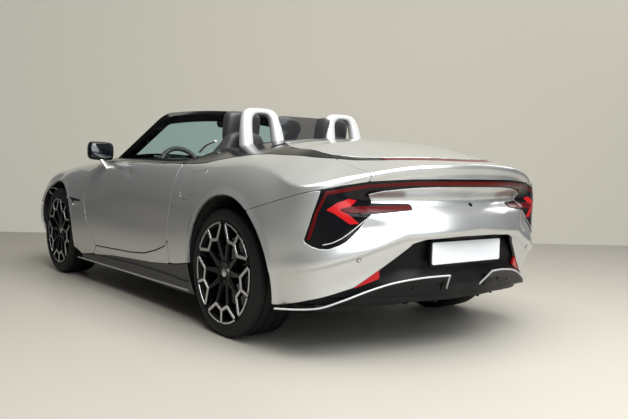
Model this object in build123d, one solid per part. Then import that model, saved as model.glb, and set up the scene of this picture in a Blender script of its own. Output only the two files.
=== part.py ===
from build123d import *
import os
from math import atan, cos, degrees, hypot, pi, radians, sin, tan

# Electric two-seat roadster, millimetres. +Z up, nose towards -Y, the car's left side towards +X.
# The origin is on the ground under the middle of the car.

# --- overall sizes
LENGTH = 4535.0
BODY_WIDTH = 1914.0
BELT_HEIGHT = 930.0
SCREEN_HEIGHT = 1329.0
WHEELBASE = 2690.0
FRONT_OVERHANG = 865.0
FLOOR_HEIGHT = 135.0

# --- wheels and tyres
FRONT_TYRE_R = 352.0
REAR_TYRE_R = 350.0
FRONT_TYRE_W = 245.0
REAR_TYRE_W = 275.0
FRONT_WHEEL_X = 782.0
REAR_WHEEL_X = 782.0
RIM_R = 254.0
RIM_WALL = 13.0
RIM_LIP = 15.0
RIM_EDGE = 12.0
RIM_FLANGE = 9.0
SPOKES = 5
HUB_R = 62.0
AXLE_R = 22.0
BRAKE_R = 185.0
BRAKE_T = 30.0
KINGPIN_X = 745.0
BALL_DROP = 150.0

# --- walls, gaps and fits
SKIN = 28.0
SHUT_GAP = 6.0
SEAT_GAP = 0.3
FRONT_ARCH_GAP = 58.0
REAR_ARCH_GAP = 65.0
REAR_ARCH_BACK = 48.0
REAR_ARCH_UP = 8.0
DOOR_DEPTH = 150.0
DOOR_PLUG = 60.0
FLOOR_T = 20.0
PIN_R = 7.0
PIN_FIT = 0.2

FRONT_AXLE = -LENGTH / 2 + FRONT_OVERHANG
REAR_AXLE = FRONT_AXLE + WHEELBASE

# --- how the drawn body follows the driving sizes
DRAWN = dict(length=4535.0, width=1914.0, belt=930.0, front_axle=-1402.5, rear_axle=1287.5)
BIG = 3000.0


def along(y):
    """Place a drawn station on the car: the nose, both axles and the tail are fixed points."""
    drawn = [-DRAWN["length"] / 2, DRAWN["front_axle"], DRAWN["rear_axle"], DRAWN["length"] / 2]
    real = [-LENGTH / 2, FRONT_AXLE, REAR_AXLE, LENGTH / 2]
    for i in range(3):
        if y <= drawn[i + 1] or i == 2:
            return real[i] + (y - drawn[i]) * (real[i + 1] - real[i]) / (drawn[i + 1] - drawn[i])


def across(x):
    return x * BODY_WIDTH / DRAWN["width"]


def tall(z):
    return z * BELT_HEIGHT / DRAWN["belt"]


def side(points):
    """Drawn (y, z) points of a side view as real ones."""
    return [(along(y), tall(z)) for y, z in points]


def plan(points):
    """Drawn (x, y) points of a top view as real ones."""
    return [(across(x), along(y)) for x, y in points]


def face_on(points):
    """Drawn (x, z) points of a front or rear view as real ones."""
    return [(across(x), tall(z)) for x, z in points]


# --- body form: half sections in upright planes that turn round the nose and the tail
# turn, centre y, | bottom r, z, angle | widest r, z, angle | shoulder r, z, angle below, above | spine z, slope
STATIONS = [
    (-90, -1560, 610, 185, -55, 707.5, 430, 0, 590, 655, 52, 74, 838, 0.20),
    (-60, -1548, 680, 185, -50, 782, 430, 0, 668, 655, 50, 74, 840, 0.20),
    (-35, -1530, 790, 185, -45, 897, 440, 0, 770, 690, 50, 72, 844, 0.20),
    (-15, -1500, 850, 190, -30, 925, 470, 0, 800, 790, 48, 70, 850, 0.20),
    (0, -1402, 880, 170, -20, 937, 500, 0, 790, 868, 55, 72, 872, 0.18),
    (0, -1000, 880, 165, -18, 930, 540, 2, 800, 905, 45, 71, 938, 0.14),
    (0, -560, 872, 165, -15, 920, 560, 3, 845, 925, 35, 68, 985, 0.10),
    (0, -50, 868, 165, -12, 908, 530, 3, 858, 930, 30, 66, 1010, 0.05),
    (0, 450, 875, 165, -12, 913, 530, 2, 862, 925, 30, 64, 1040, 0.05),
    (0, 820, 890, 170, -12, 932, 560, 1, 850, 930, 40, 63, 1088, 0.05),
    (0, 1060, 900, 185, -12, 948, 600, 0, 835, 948, 52, 65, 1104, 0.02),
    (0, 1287, 905, 215, -12, 957, 640, 0, 822, 962, 60, 68, 1100, -0.02),
    (0, 1480, 912, 235, -12, 955, 640, 0, 828, 950, 58, 68, 1090, -0.06),
    (10, 1560, 915, 250, -12, 957, 620, 0, 885, 885, 36, 56, 1083, -0.09),
    (22, 1568, 905, 260, -10, 950, 600, 0, 948, 812, 6, 58, 1082, -0.09),
    (35, 1578, 815, 262, -8, 856, 600, 0, 838, 872, 3, 68, 1081, -0.09),
    (60, 1592, 672, 262, -6, 708, 600, 0, 700, 930, 2, 74, 1080, -0.09),
    (90, 1605, 612, 262, -6, 662.5, 600, 0, 645, 950, 2, 76, 1079, -0.09),
]
HANDLE = 0.36


def section(row, inset):
    turn, yc, rb, zb, ab, rm, zm, am, rs, zs, below, above, zt, slope = row
    c, s = cos(radians(turn)), sin(radians(turn))

    def at(r, z):
        return Vector(across(r * c), along(yc + r * s), tall(z))

    def bow(r0, z0, a0, r1, z1, a1):
        reach = HANDLE * hypot(r1 - r0, z1 - z0)
        d0 = (-sin(radians(a0)) * reach, cos(radians(a0)) * reach)
        d1 = (-sin(radians(a1)) * reach, cos(radians(a1)) * reach)
        return Bezier(at(r0, z0), at(r0 + d0[0], z0 + d0[1]), at(r1 - d1[0], z1 - d1[1]), at(r1, z1))

    rb, rm, rs = rb - inset, rm - inset, rs - inset
    zb, zs, zt = zb + inset, zs - inset, zt - inset
    reach = HANDLE * rs
    rise = (-sin(radians(above)) * reach, cos(radians(above)) * reach)
    top = Bezier(at(rs, zs), at(rs + rise[0], zs + rise[1]), at(reach, zt + slope * s * reach), at(0, zt))
    lower = bow(rb, zb, ab, rm, zm, am)
    upper = bow(rm, zm, am, rs, zs, below)
    return Wire([lower, upper, top, Line(at(0, zt), at(0, zb)), Line(at(0, zb), at(rb, zb))])


def half_form(inset):
    """The left half of the body's form, its outside moved in by inset."""
    return Solid.make_loft([section(row, inset) for row in STATIONS], True)


def from_side(points, x0, x1):
    """A prism along X from drawn side-view points."""
    outline = make_face(Plane.YZ * Polyline(*side(points), close=True))
    return extrude(outline, amount=x1 - x0, dir=(1, 0, 0)).moved(Location((x0, 0, 0)))


def from_top(points, z0, z1):
    """A prism along Z from drawn top-view points."""
    outline = make_face(Polyline(*plan(points), close=True))
    return extrude(outline, amount=z1 - z0, dir=(0, 0, 1)).moved(Location((0, 0, z0)))


def from_rear(points, y0, y1):
    """A prism along Y from drawn rear-view points."""
    outline = make_face(Plane.XZ * Polyline(*face_on(points), close=True))
    return extrude(outline, amount=y1 - y0, dir=(0, 1, 0)).moved(Location((0, y0, 0)))


def block(x0, x1, y0, y1, z0, z1):
    return Pos((x0 + x1) / 2, (y0 + y1) / 2, (z0 + z1) / 2) * Box(x1 - x0, y1 - y0, z1 - z0)


def bar_x(x0, x1, y, z, r):
    """A round bar along X."""
    return Pos((x0 + x1) / 2, y, z) * Rot(0, 90, 0) * Cylinder(r, x1 - x0)


def grown(points, d):
    """A closed outline moved outwards by d (inwards if d is negative); the points run anticlockwise."""
    out = []
    n = len(points)
    for i in range(n):
        (ax, ay), (bx, by), (cx, cy) = points[i - 1], points[i], points[(i + 1) % n]
        u, v = (bx - ax, by - ay), (cx - bx, cy - by)
        lu, lv = hypot(*u), hypot(*v)
        nu, nv = (u[1] / lu, -u[0] / lu), (v[1] / lv, -v[0] / lv)
        k = d / (1 + nu[0] * nv[0] + nu[1] * nv[1])
        out.append((bx + k * (nu[0] + nv[0]), by + k * (nu[1] + nv[1])))
    return out


def both_sides(half):
    """A centre piece from its left half."""
    return half + mirror(half, Plane.YZ)


def lump(shape):
    """The shape without slivers: the solids over a hundredth of the largest."""
    solids = sorted(shape.solids(), key=lambda s: s.volume)
    keep = [s for s in solids if s.volume > solids[-1].volume * 0.01]
    return keep[0] if len(keep) == 1 else Compound(keep)


# --- outlines, drawn points (y, z) or (x, y) or (x, z)
DOOR_LINE = [
    (-561, 312), (-294, 318), (47, 329), (263, 346), (452, 386), (590, 427), (630, 466), (636, 586), (667, 697),
    (694, 830), (706, 1100), (-630, 1100), (-630, 940), (-638, 911), (-637, 900), (-642, 889), (-712, 811), (-762, 720),
    (-770, 670), (-764, 611), (-705, 487), (-634, 380),
]
BONNET_LINE = [
    (-10, -2080), (250, -2066), (450, -2010), (590, -1905), (660, -1750), (700, -1500), (712, -1150),
    (700, -820), (678, -745), (560, -756), (380, -800), (200, -832), (-10, -845),
]
COWL_LINE = [
    (-10, -845), (200, -832), (380, -800), (560, -756), (678, -745), (765, -700), (765, -480), (-10, -480),
]
LID_HALF = 500.0
LID_FRONT = 1262.0
LID_REAR_Z = 884.0
TONNEAU_LINE = [(-10, 735), (560, 735), (572, 880), (LID_HALF + 8, LID_FRONT - 13), (-10, LID_FRONT - 13)]
TRIM_EDGE = [(752, 700), (800, 800), (842, 1000), (835, 1135), (800, 1289), (740, 1432), (680, 1576), (620, 1737), (560, 1992), (512, 2200)]
LAMP_LINE = [
    (602, 718), (634, 675), (690, 628), (751, 575), (805, 553), (857, 560), (882, 575), (822, 826), (804, 831),
    (613, 858), (371, 877), (-10, 880), (-10, 856), (371, 853), (606, 833),
]
TAIL_LINE = [(-10, 0), (1100, 0), (1100, 600), (884, 600), (822, 826), (804, 831), (613, 858), (371, 877), (-10, 880)]
DIFFUSER_EDGE = [(796, 308), (735, 336), (672, 369), (562, 439), (467, 513), (391, 565), (298, 591), (82, 602), (-10, 602)]

HINGE_Y, HINGE_Z = -555.0, 885.0
SEAM_Y = 1985
QUARTER_LINE = [
    (638, 325), (720, 330), (975, 368), (1287, 500), (1480, 682), (1545, 700), (SEAM_Y, 822), (2400, 822),
    (2400, 1300), (600, 1300), (600, 480), (638, 462),
]
REAR_LOWER = [(1300, 100), (2400, 100), (2400, 816), (SEAM_Y, 816), (1545, 694), (1480, 676), (1300, 500)]
SILL_LINE = [
    (-880, 130), (985, 130), (975, 363), (720, 325), (632, 320), (632, 457), (590, 420), (452, 379),
    (263, 339), (47, 322), (-294, 311), (-566, 305), (-640, 236), (-880, 210),
]
FENDER_LINE = [
    (-880, 215), (-640, 241), (-568, 310), (-400, 500), (-400, 1300), (-2120, 1300), (-2120, 742), (-1985, 690),
    (-1740, 560), (-1402, 400),
]
HEADLAMP_LINE = [(470, 596), (640, 606), (800, 640), (870, 690), (800, 694), (640, 662), (480, 636)]
INTAKE_LINE = [(-10, 235), (430, 235), (520, 300), (490, 390), (440, 420), (-10, 420)]
DIFFUSER_LINE = [
    (-10, 80), (1000, 80), (1000, 272), (905, 278), (796, 308), (735, 336), (672, 369), (562, 439),
    (467, 513), (391, 565), (298, 591), (82, 602), (-10, 602),
]
CABIN_LINE = [
    (-880, 420), (-800, 255), (560, 255), (640, 330), (728, 1000), (728, 1400), (-480, 1400), (-480, 880),
    (-860, 780),
]


def arches():
    """Round openings over the front and the rear wheel, from the inner wall outwards."""
    front = bar_x(FRONT_WHEEL_X - FRONT_WELL_IN, BIG / 2, FRONT_AXLE, FRONT_TYRE_R, FRONT_TYRE_R + FRONT_ARCH_GAP)
    rear = bar_x(REAR_WHEEL_X - REAR_WELL_IN, BIG / 2, REAR_AXLE + REAR_ARCH_BACK, REAR_TYRE_R + REAR_ARCH_UP,
                 REAR_TYRE_R + REAR_ARCH_GAP)
    return front + rear


DOOR_FACE = 925.0
TUB_SIDE = DOOR_FACE - DOOR_DEPTH - 37.0


def wire_at(points, x):
    return Wire(Plane.YZ.offset(x) * Polyline(*side(points), close=True))


def door_plug(gap):
    """The door's space: straight through its skin, then drawn in towards the cabin."""
    outline, waist = grown(DOOR_LINE, gap), grown(DOOR_LINE, gap - DOOR_PLUG)
    face = across(DOOR_FACE)
    through = from_side(outline, face, face + 200)
    plug = Solid.make_loft([wire_at(waist, face - DOOR_DEPTH), wire_at(outline, face)], True)
    return through + plug


# --- windscreen: rows square to its slope, each an arc across the car
SCREEN_SLOPE = 26.0
SCREEN_FOOT = (along(-860), tall(935))
SCREEN_LENGTH = (SCREEN_HEIGHT - 12 - SCREEN_FOOT[1]) / sin(radians(SCREEN_SLOPE))
SCREEN_HALF_FOOT, SCREEN_HALF_TOP = across(841), across(604)
SCREEN_BOW_FOOT, SCREEN_BOW_TOP = 189.0, 56.0


def screen(a0, a1, s0, s1, t0, t1):
    """A piece of the windscreen: a0..a1 across (-1 to 1), s0..s1 up its slope (0 to 1), t0..t1 through it."""
    tilt = radians(SCREEN_SLOPE)
    rows = []
    for s in (s0, s1):
        half = SCREEN_HALF_FOOT + (SCREEN_HALF_TOP - SCREEN_HALF_FOOT) * s
        sag = SCREEN_BOW_FOOT + (SCREEN_BOW_TOP - SCREEN_BOW_FOOT) * s

        def at(a, t):
            off = t - sag * a * a
            y = SCREEN_FOOT[0] + SCREEN_LENGTH * s * cos(tilt) - off * sin(tilt)
            z = SCREEN_FOOT[1] + SCREEN_LENGTH * s * sin(tilt) + off * cos(tilt)
            return Vector(half * a, y, z)

        mid = (a0 + a1) / 2
        top = ThreePointArc(at(a0, t1), at(mid, t1), at(a1, t1))
        low = ThreePointArc(at(a1, t0), at(mid, t0), at(a0, t0))
        rows.append(Wire([top, Line(at(a1, t1), at(a1, t0)), low, Line(at(a0, t0), at(a0, t1))]))
    return Solid.make_loft(rows, True)


def turned(points, x):
    """A ring round the X axis from (x, radius) points."""
    outline = make_face(Plane.XY * Polyline(*points, close=True))
    return revolve(outline, axis=Axis.X).moved(Location((x, 0, 0)))


# --- wheels, in their own place: the axle along X, +X outwards, the origin at the tyre's middle
def tyre(radius, width):
    half, wall = width / 2, 14.0
    seat, lip = half - RIM_EDGE - RIM_FLANGE, RIM_R + RIM_LIP + 1
    outside = [
        (-seat, RIM_R), (-seat, lip), (-half + 4, lip + 12), (-half, lip + 34), (-half + 4, radius - 26),
        (-half + 16, radius - 8), (-half + 34, radius), (half - 34, radius), (half - 16, radius - 8),
        (half - 4, radius - 26), (half, lip + 34), (half - 4, lip + 12), (seat, lip), (seat, RIM_R),
    ]
    inside = [(seat - wall, RIM_R), (half - wall - 2, lip + 30), (half - 34, radius - wall),
              (-half + 34, radius - wall), (-half + wall + 2, lip + 30), (-seat + wall, RIM_R)]
    return turned(outside + inside, 0)


def spoke(width, face_x):
    """One split spoke: a bar out to the rim and a fork that leaves it half way."""
    reach = RIM_R - 4
    outline = [
        (HUB_R - 8, -26), (reach * 0.60, -17), (reach * 0.74, -62), (reach * 0.94, -122), (reach, -104),
        (reach * 0.82, -38), (reach * 0.78, -13), (reach, -12), (reach, 12), (reach * 0.78, 13),
        (reach * 0.82, 38), (reach, 104), (reach * 0.94, 122), (reach * 0.74, 62), (reach * 0.60, 17),
        (HUB_R - 8, 26),
    ]
    blade = extrude(make_face(Plane.YZ * Polyline(*outline, close=True)), amount=26)
    return blade.moved(Location((face_x - 26, 0, 0)))


def wheel(width):
    """Rim, spokes, hub and brake disc as one piece with a bore for the stub axle."""
    half = width / 2 - RIM_EDGE
    barrel = [
        (-half, RIM_R + RIM_LIP), (-half, RIM_R - RIM_WALL), (half, RIM_R - RIM_WALL), (half, RIM_R + RIM_LIP),
        (half - RIM_FLANGE, RIM_R + RIM_LIP), (half - RIM_FLANGE, RIM_R), (-half + RIM_FLANGE, RIM_R),
        (-half + RIM_FLANGE, RIM_R + RIM_LIP),
    ]
    rim = turned(barrel, 0)
    face_x = half - 12
    for k in range(SPOKES):
        rim += (spoke(width, face_x) & bar_x(-BIG, BIG, 0, 0, RIM_R - RIM_WALL / 2)).rotate(Axis.X, 360 / SPOKES * k - 90)
    hub = turned([(BRAKE_X, AXLE_R + PIN_FIT), (face_x - 12, AXLE_R + PIN_FIT), (face_x - 12, HUB_R), (BRAKE_X, HUB_R)], 0)
    disc = turned([(BRAKE_X - BRAKE_T, HUB_R + 16), (BRAKE_X - BRAKE_T, BRAKE_R), (BRAKE_X, BRAKE_R), (BRAKE_X, HUB_R - 4),
                   (BRAKE_X - 10, HUB_R - 4), (BRAKE_X - 10, HUB_R + 16)], 0)
    cap = turned([(face_x - 20, 0), (face_x - 4, 0), (face_x - 4, AXLE_R + 4), (face_x - 12, AXLE_R + 8), (face_x - 20, AXLE_R + 8)], 0)
    return rim + hub + disc + cap


BRAKE_X = 30.0
CALIPER_GAP = 6.0


def knuckle(steered, tyre_x):
    """Upright with its stub axle and brake caliper, in the wheel's own place."""
    back = BRAKE_X - BRAKE_T - 12
    kingpin = KINGPIN_X - tyre_x if steered else -37.0
    upright = bar_x(kingpin - 22, back, 0, 0, HUB_R + 8)
    upright += bar_x(kingpin - 22, BRAKE_X + 40, 0, 0, AXLE_R)
    leg = block(kingpin - 20, kingpin + 20 - 12, -34, 34, -BALL_DROP + 14, BALL_DROP - 14)
    upright += leg
    lug_low = Pos(kingpin, 0, -BALL_DROP + 12) * Cylinder(24, 40)
    lug_high = Pos(kingpin, 0, BALL_DROP - 12) * Cylinder(24, 40)
    upright += lug_low + lug_high
    for z in (-BALL_DROP + 12, BALL_DROP - 12):
        upright -= Pos(kingpin, 0, z) * Cylinder(PIN_R + PIN_FIT, 60)
    grip = Pos(0, 0, 0) * Rot(0, 90, 0) * Cylinder(BRAKE_R + 26, BRAKE_T + 70)
    grip -= Rot(0, 90, 0) * Cylinder(BRAKE_R - 62, BRAKE_T + 90)
    grip = grip.moved(Location((BRAKE_X - BRAKE_T / 2 - 4, 0, 0)))
    grip &= block(-200, 200, 40, 300, -75, 110)
    slot = Rot(0, 90, 0) * Cylinder(BRAKE_R + CALIPER_GAP, BRAKE_T + 2 * CALIPER_GAP)
    grip -= slot.moved(Location((BRAKE_X - BRAKE_T / 2, 0, 0)))
    arm = block(back - 26, back - 4, 20, BRAKE_R, -45, 60)
    return upright + (grip + arm)


# --- running gear held by the body
ARM_FOOT, ARM_THROAT = 140.0, 84.0


def front_subframe():
    """Cradle under the nose with a lower and an upper arm to each kingpin."""
    y, z = FRONT_AXLE, FRONT_TYRE_R
    wall = FRONT_WHEEL_X - FRONT_WELL_IN
    cradle = block(0, wall - 40, y - 230, y + 250, FLOOR_HEIGHT + 20, FLOOR_HEIGHT + 60)
    cradle -= block(0, wall - 150, y - 160, y + 170, FLOOR_HEIGHT, FLOOR_HEIGHT + 100)
    for dy in (-190, 210):
        cradle += block(wall - 120, wall - 40, y + dy - 40, y + dy + 40, FLOOR_HEIGHT + 20, FRONT_WELL_TOP)
    pieces = cradle
    for level, root in ((z - BALL_DROP - 22, wall - 60), (z + BALL_DROP + 22, wall + SEAT_GAP)):
        outline = [(root, y - ARM_FOOT), (root, y - ARM_THROAT), (KINGPIN_X - 70, y - 14),
                   (KINGPIN_X - 70, y + 14), (root, y + ARM_THROAT), (root, y + ARM_FOOT),
                   (KINGPIN_X, y + 22), (KINGPIN_X + 18, y + 12),
                   (KINGPIN_X + 18, y - 12), (KINGPIN_X, y - 22)]
        arm = extrude(make_face(Polyline(*outline, close=True)), amount=16, dir=(0, 0, 1))
        pieces += arm.moved(Location((0, 0, level - 8)))
    for dz in (-BALL_DROP - 5, BALL_DROP + 5):
        pieces += Pos(KINGPIN_X, y, z + dz) * Cylinder(PIN_R, 36)
    return both_sides(pieces)


def rear_subframe():
    y, z = REAR_AXLE, REAR_TYRE_R
    cradle = block(0, 470, y - 280, y + 280, FLOOR_HEIGHT + 25, FLOOR_HEIGHT + 65)
    cradle -= block(0, 330, y - 200, y + 200, FLOOR_HEIGHT, FLOOR_HEIGHT + 100)
    for dy in (-240, 240):
        cradle += block(400, 470, y + dy - 40, y + dy + 40, FLOOR_HEIGHT + 25, REAR_WELL_TOP)
    return both_sides(cradle)


def rear_knuckles():
    """Fixed rear uprights with links that reach the cradle's towers."""
    upright = knuckle(False, REAR_WHEEL_X).moved(Location((REAR_WHEEL_X, REAR_AXLE, REAR_TYRE_R)))
    pin_x = REAR_WHEEL_X - 37
    for dz in (-BALL_DROP + 20, BALL_DROP - 20):
        link = block(470.3, pin_x - 20, REAR_AXLE - 22, REAR_AXLE + 22, REAR_TYRE_R + dz - 12, REAR_TYRE_R + dz + 12)
        upright += link
    foot = block(470.3, 500, REAR_AXLE - 280, REAR_AXLE + 280, FLOOR_HEIGHT + 25, REAR_TYRE_R - BALL_DROP + 34)
    brace = block(470.3, 500, REAR_AXLE - 30, REAR_AXLE + 30, FLOOR_HEIGHT + 25, REAR_TYRE_R + BALL_DROP)
    half = upright + foot + brace
    return half


FRONT_WELL_IN, REAR_WELL_IN = 317.0, 172.0
FRONT_WELL_TOP = 430.0
REAR_WELL_TOP = 520.0
BATTERY_TOP = FLOOR_HEIGHT + 100.0



# --- hinges: a pin held by a post of the body, in a bore of the moving piece
BONNET_AXIS = (along(-752), tall(956))
LID_AXIS = (along(1270), tall(1084))
BONNET_HINGE_X, LID_HINGE_X = across(610), across(150)
HINGE_ROOM = 23.0
DOOR_HINGE = (across(812), along(-658), tall(904))
DOOR_TILT = 20.0
DOOR_ARM = 100.0
DOOR_ARM_FALL = 75.0
DOOR_KNUCKLE_ROOM = 30.0
DOOR_WAIST_ROOM = [(-705, 700), (-540, 700), (-540, 935), (-640, 935), (-655, 880), (-705, 812)]


def cowl_hinge_room():
    """What the bonnet's rear edge sweeps beside its hinge."""
    hinge = bar_x(BONNET_HINGE_X - 80, BONNET_HINGE_X + 42, *BONNET_AXIS, 30)
    return hinge + bar_x(BONNET_HINGE_X - 200, BONNET_HINGE_X - 79, *BONNET_AXIS, 26)


def lid_post(x, axis, foot):
    """A post with its pin for a bonnet or lid hinge."""
    y, z = axis
    return block(x - 8, x + 8, y - 11, y + 11, foot, z) + bar_x(x - 8, x + 8, y, z, 11) + bar_x(x - 36, x + 36, y, z, PIN_R)


def lid_pocket(x, axis):
    """What the bonnet or lid leaves open for its post and pin."""
    y, z = axis
    return bar_x(x - 14, x + 14, y, z, 18) + bar_x(x - 37, x + 37, y, z, PIN_R + PIN_FIT) + block(
        x - 14, x + 14, y - 18, y + 18, z - 60, z)


def lid_boss(x, axis):
    """Rounded ears of the bonnet or lid round its pin."""
    y, z = axis
    return bar_x(x - 34, x + 34, y, z, PIN_R + 7)


def door_hinge_place():
    x, y, z = DOOR_HINGE
    return Location((x, y, z), (0, 90 + DOOR_TILT, 0)) * Location((0, 0, 0), (0, 0, 90))


def door_arm():
    """Arm from the door up to its hinge, with the eye square to the hinge axis."""
    x, y, z = DOOR_HINGE
    arm = block(-10, 10, -15, 15, -DOOR_ARM, 0).rotate(Axis.X, 90 - DOOR_ARM_FALL).moved(Location((x, y, z)))
    eye = Cylinder(16, 22).moved(door_hinge_place())
    return (arm + eye) - Cylinder(PIN_R + PIN_FIT, 80).moved(door_hinge_place())


def door_arm_room():
    """What the body leaves open for the arm and for the door's corner that turns round the hinge."""
    reach = DOOR_ARM + 20
    wedge = [(0, 0)] + [(reach * cos(radians(a)), reach * sin(radians(a))) for a in (-118, -64, -20, 12)]
    swing = extrude(make_face(Polyline(*wedge, close=True)), amount=90, dir=(0, 0, 1)).moved(Location((0, 0, -30)))
    corner = Pos(0, 0, 40) * Cylinder(DOOR_KNUCKLE_ROOM, 170)
    return (swing + corner).moved(door_hinge_place())


def door_hinge_lugs():
    """Two lugs of the body with the pin between them."""
    lugs = Pos(0, 0, -3) * Cylinder(PIN_R, 62)
    for z in (-24, 24):
        lugs += Pos(0, 0, z) * Cylinder(14, 14) + Pos(-22, 0, z) * Box(44, 24, 14)
    return lugs.moved(door_hinge_place())


# --- bodywork
# --- the tub is built as three boxes, cabin and both ends: name, from y, to y
TUB_PARTS = [("front_structure", -2400, -905), ("cabin_tub", -905, 762), ("rear_structure", 762, 2400)]

# --- number plate seat in the tail, and the jacking pads under the tub
PLATE_Y, PLATE_Z = 2190.0, tall(513)
PLATE_HALF_W, PLATE_HALF_H, PLATE_RIM, PLATE_WALL = 300.0, 72.0, 14.0, 22.0
PLATE_HOLES, PLATE_HOLE_R = 330.0, 2.6
JACK_PADS = [(665.0, -700.0), (665.0, 800.0)]
JACK_PAD_R, JACK_PAD_Z = 30.0, 170.0


def plate_tray(extra):
    """The walled seat that holds the plate back from the bumper's face."""
    half_w, half_h = PLATE_HALF_W + PLATE_RIM + extra, PLATE_HALF_H + PLATE_RIM + extra
    back = along(PLATE_Y) - PLATE_WALL - extra
    return block(-10, across(half_w), back, BIG, PLATE_Z - half_h, PLATE_Z + half_h)


def jack_pads():
    return [Pos(across(x), along(y), JACK_PAD_Z + 25) * Cylinder(JACK_PAD_R, 50) for x, y in JACK_PADS]


def main():
    os.makedirs("parts", exist_ok=True)
    nodes = {}
    outer, inner, core = half_form(0), half_form(SKIN), half_form(SKIN + SEAT_GAP)
    skin = outer - inner
    wells = arches()
    door_space = door_plug(SHUT_GAP)
    side_mirror = Plane.YZ

    def pair(name, left):
        nodes[name + "_left"] = left
        nodes[name + "_right"] = mirror(left, side_mirror)

    bonnet_space = from_top(BONNET_LINE, tall(560), tall(1100))
    bonnet_hole = from_top(grown(BONNET_LINE, SHUT_GAP), tall(560), tall(1100))
    cowl_space = from_top(COWL_LINE, tall(700), tall(1100))

    # fenders, sills, quarters
    headlamp = from_rear(HEADLAMP_LINE, along(-2350), along(-1700))
    headlamp_hole = from_rear(grown(HEADLAMP_LINE, 3), along(-2350), along(-1700))
    fender = skin & from_side(FENDER_LINE, 300, 1200)
    fender = fender - wells - door_space - bonnet_hole - cowl_space - headlamp_hole - door_arm_room()
    fender -= block(0, across(870), along(-642), along(-400), tall(860), BIG)
    fender = lump(fender) + door_hinge_lugs()
    pair("fender", lump(fender))
    sill = (skin & from_side(SILL_LINE, across(700), 1200)) - wells
    pair("sill", lump(sill))
    cockpit = from_top([(-10, -480), (752, -480), (752, 735), (-10, 735)], tall(700), tall(1300))
    deck = [(-10, 735), (752, 735)] + TRIM_EDGE[1:] + [(-10, 2300)]
    deck_space = from_top(deck, tall(830), tall(1300))
    tail_space = from_rear(TAIL_LINE, along(SEAM_Y), along(2400))
    lamp_space = from_rear(LAMP_LINE, along(1900), along(2400))
    lamp_hole = from_rear(grown(LAMP_LINE, 3), along(1900), along(2400))
    quarter = (skin & from_side(QUARTER_LINE, 300, 1200)) - door_space - wells - cockpit - deck_space
    quarter = quarter - tail_space - lamp_hole
    pair("quarter", lump(quarter))

    # tail
    lower = (skin & from_side(REAR_LOWER, -5, 1200)) - wells
    lower -= block(-10, across(700), along(1200), along(1740), 0, tall(400))
    behind = skin & tail_space
    diffuser_space = from_rear(DIFFUSER_LINE, along(1640), along(2400))
    bumper = (lower + behind) - lamp_hole - from_rear(grown(DIFFUSER_LINE, 2), along(1640), along(2400))
    nodes["rear_bumper"] = both_sides(lump(bumper))
    diffuser = (lower & diffuser_space) + (plate_tray(0) & outer & diffuser_space)
    diffuser -= block(-10, across(PLATE_HALF_W), along(PLATE_Y), BIG, PLATE_Z - PLATE_HALF_H, PLATE_Z + PLATE_HALF_H)
    diffuser = both_sides(lump(diffuser))
    for x in (-PLATE_HOLES / 2, PLATE_HOLES / 2):
        hole = Rot(90, 0, 0) * Cylinder(PLATE_HOLE_R, 2 * PLATE_WALL + 20)
        diffuser -= hole.moved(Location((x, along(PLATE_Y), PLATE_Z)))
    nodes["rear_diffuser"] = lump(diffuser)
    nodes["tail_lamps"] = both_sides(lump(skin & lamp_space))

    # deck: lid, tonneau and black trim
    lid_line = [(LID_FRONT, 1300), (LID_FRONT, 1000), (2080, LID_REAR_Z), (2400, LID_REAR_Z), (2400, 1300)]
    lid = skin & from_side(lid_line, -5, across(LID_HALF))
    lid = (lump(lid) + (lid_boss(LID_HINGE_X, LID_AXIS) & outer)) - lid_pocket(LID_HINGE_X, LID_AXIS)
    nodes["boot_lid"] = both_sides(lump(lid))
    tonneau = skin & from_top(TONNEAU_LINE, tall(900), tall(1300))
    nodes["tonneau_cover"] = both_sides(lump(tonneau))
    trim = (skin & deck_space) - from_top(grown(TONNEAU_LINE, 3), tall(800), tall(1300))
    trim = trim - block(-10, across(LID_HALF) + SHUT_GAP, along(LID_FRONT) - 40, BIG, tall(800), BIG)
    trim = trim - lamp_hole
    nodes["deck_trim"] = Compound([lump(trim), mirror(lump(trim), side_mirror)])

    # nose
    bonnet = lump(skin & bonnet_space)
    bonnet += lid_boss(BONNET_HINGE_X, BONNET_AXIS) & outer
    bonnet -= lid_pocket(BONNET_HINGE_X, BONNET_AXIS)
    nodes["bonnet"] = both_sides(lump(bonnet))
    cowl = (skin & cowl_space) - from_top(grown(BONNET_LINE, 14), tall(560), tall(1100))
    cowl -= cowl_hinge_room()
    nose = (skin & block(-5, 1200, -BIG, along(-1500), 0, BIG)) - wells - bonnet_hole - headlamp_hole
    nose = nose - from_side(grown(FENDER_LINE, 4), 300, 1200)
    nose -= block(-10, across(600), along(-1740), along(-1400), 0, tall(300))
    intake = from_rear(INTAKE_LINE, along(-2400), along(-2000))
    nodes["front_bumper"] = both_sides(lump(nose - intake))
    grille = skin & from_rear(grown(INTAKE_LINE, -2), along(-2400), along(-2000))
    slots = [block(-10, across(460), -BIG, 0, tall(258 + 36 * i), tall(258 + 36 * i) + 22) for i in range(4)]
    nodes["front_grille"] = both_sides(lump(grille - Compound(slots)))
    nodes["headlamps"] = Compound([lump(skin & headlamp), mirror(lump(skin & headlamp), side_mirror)])

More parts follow.
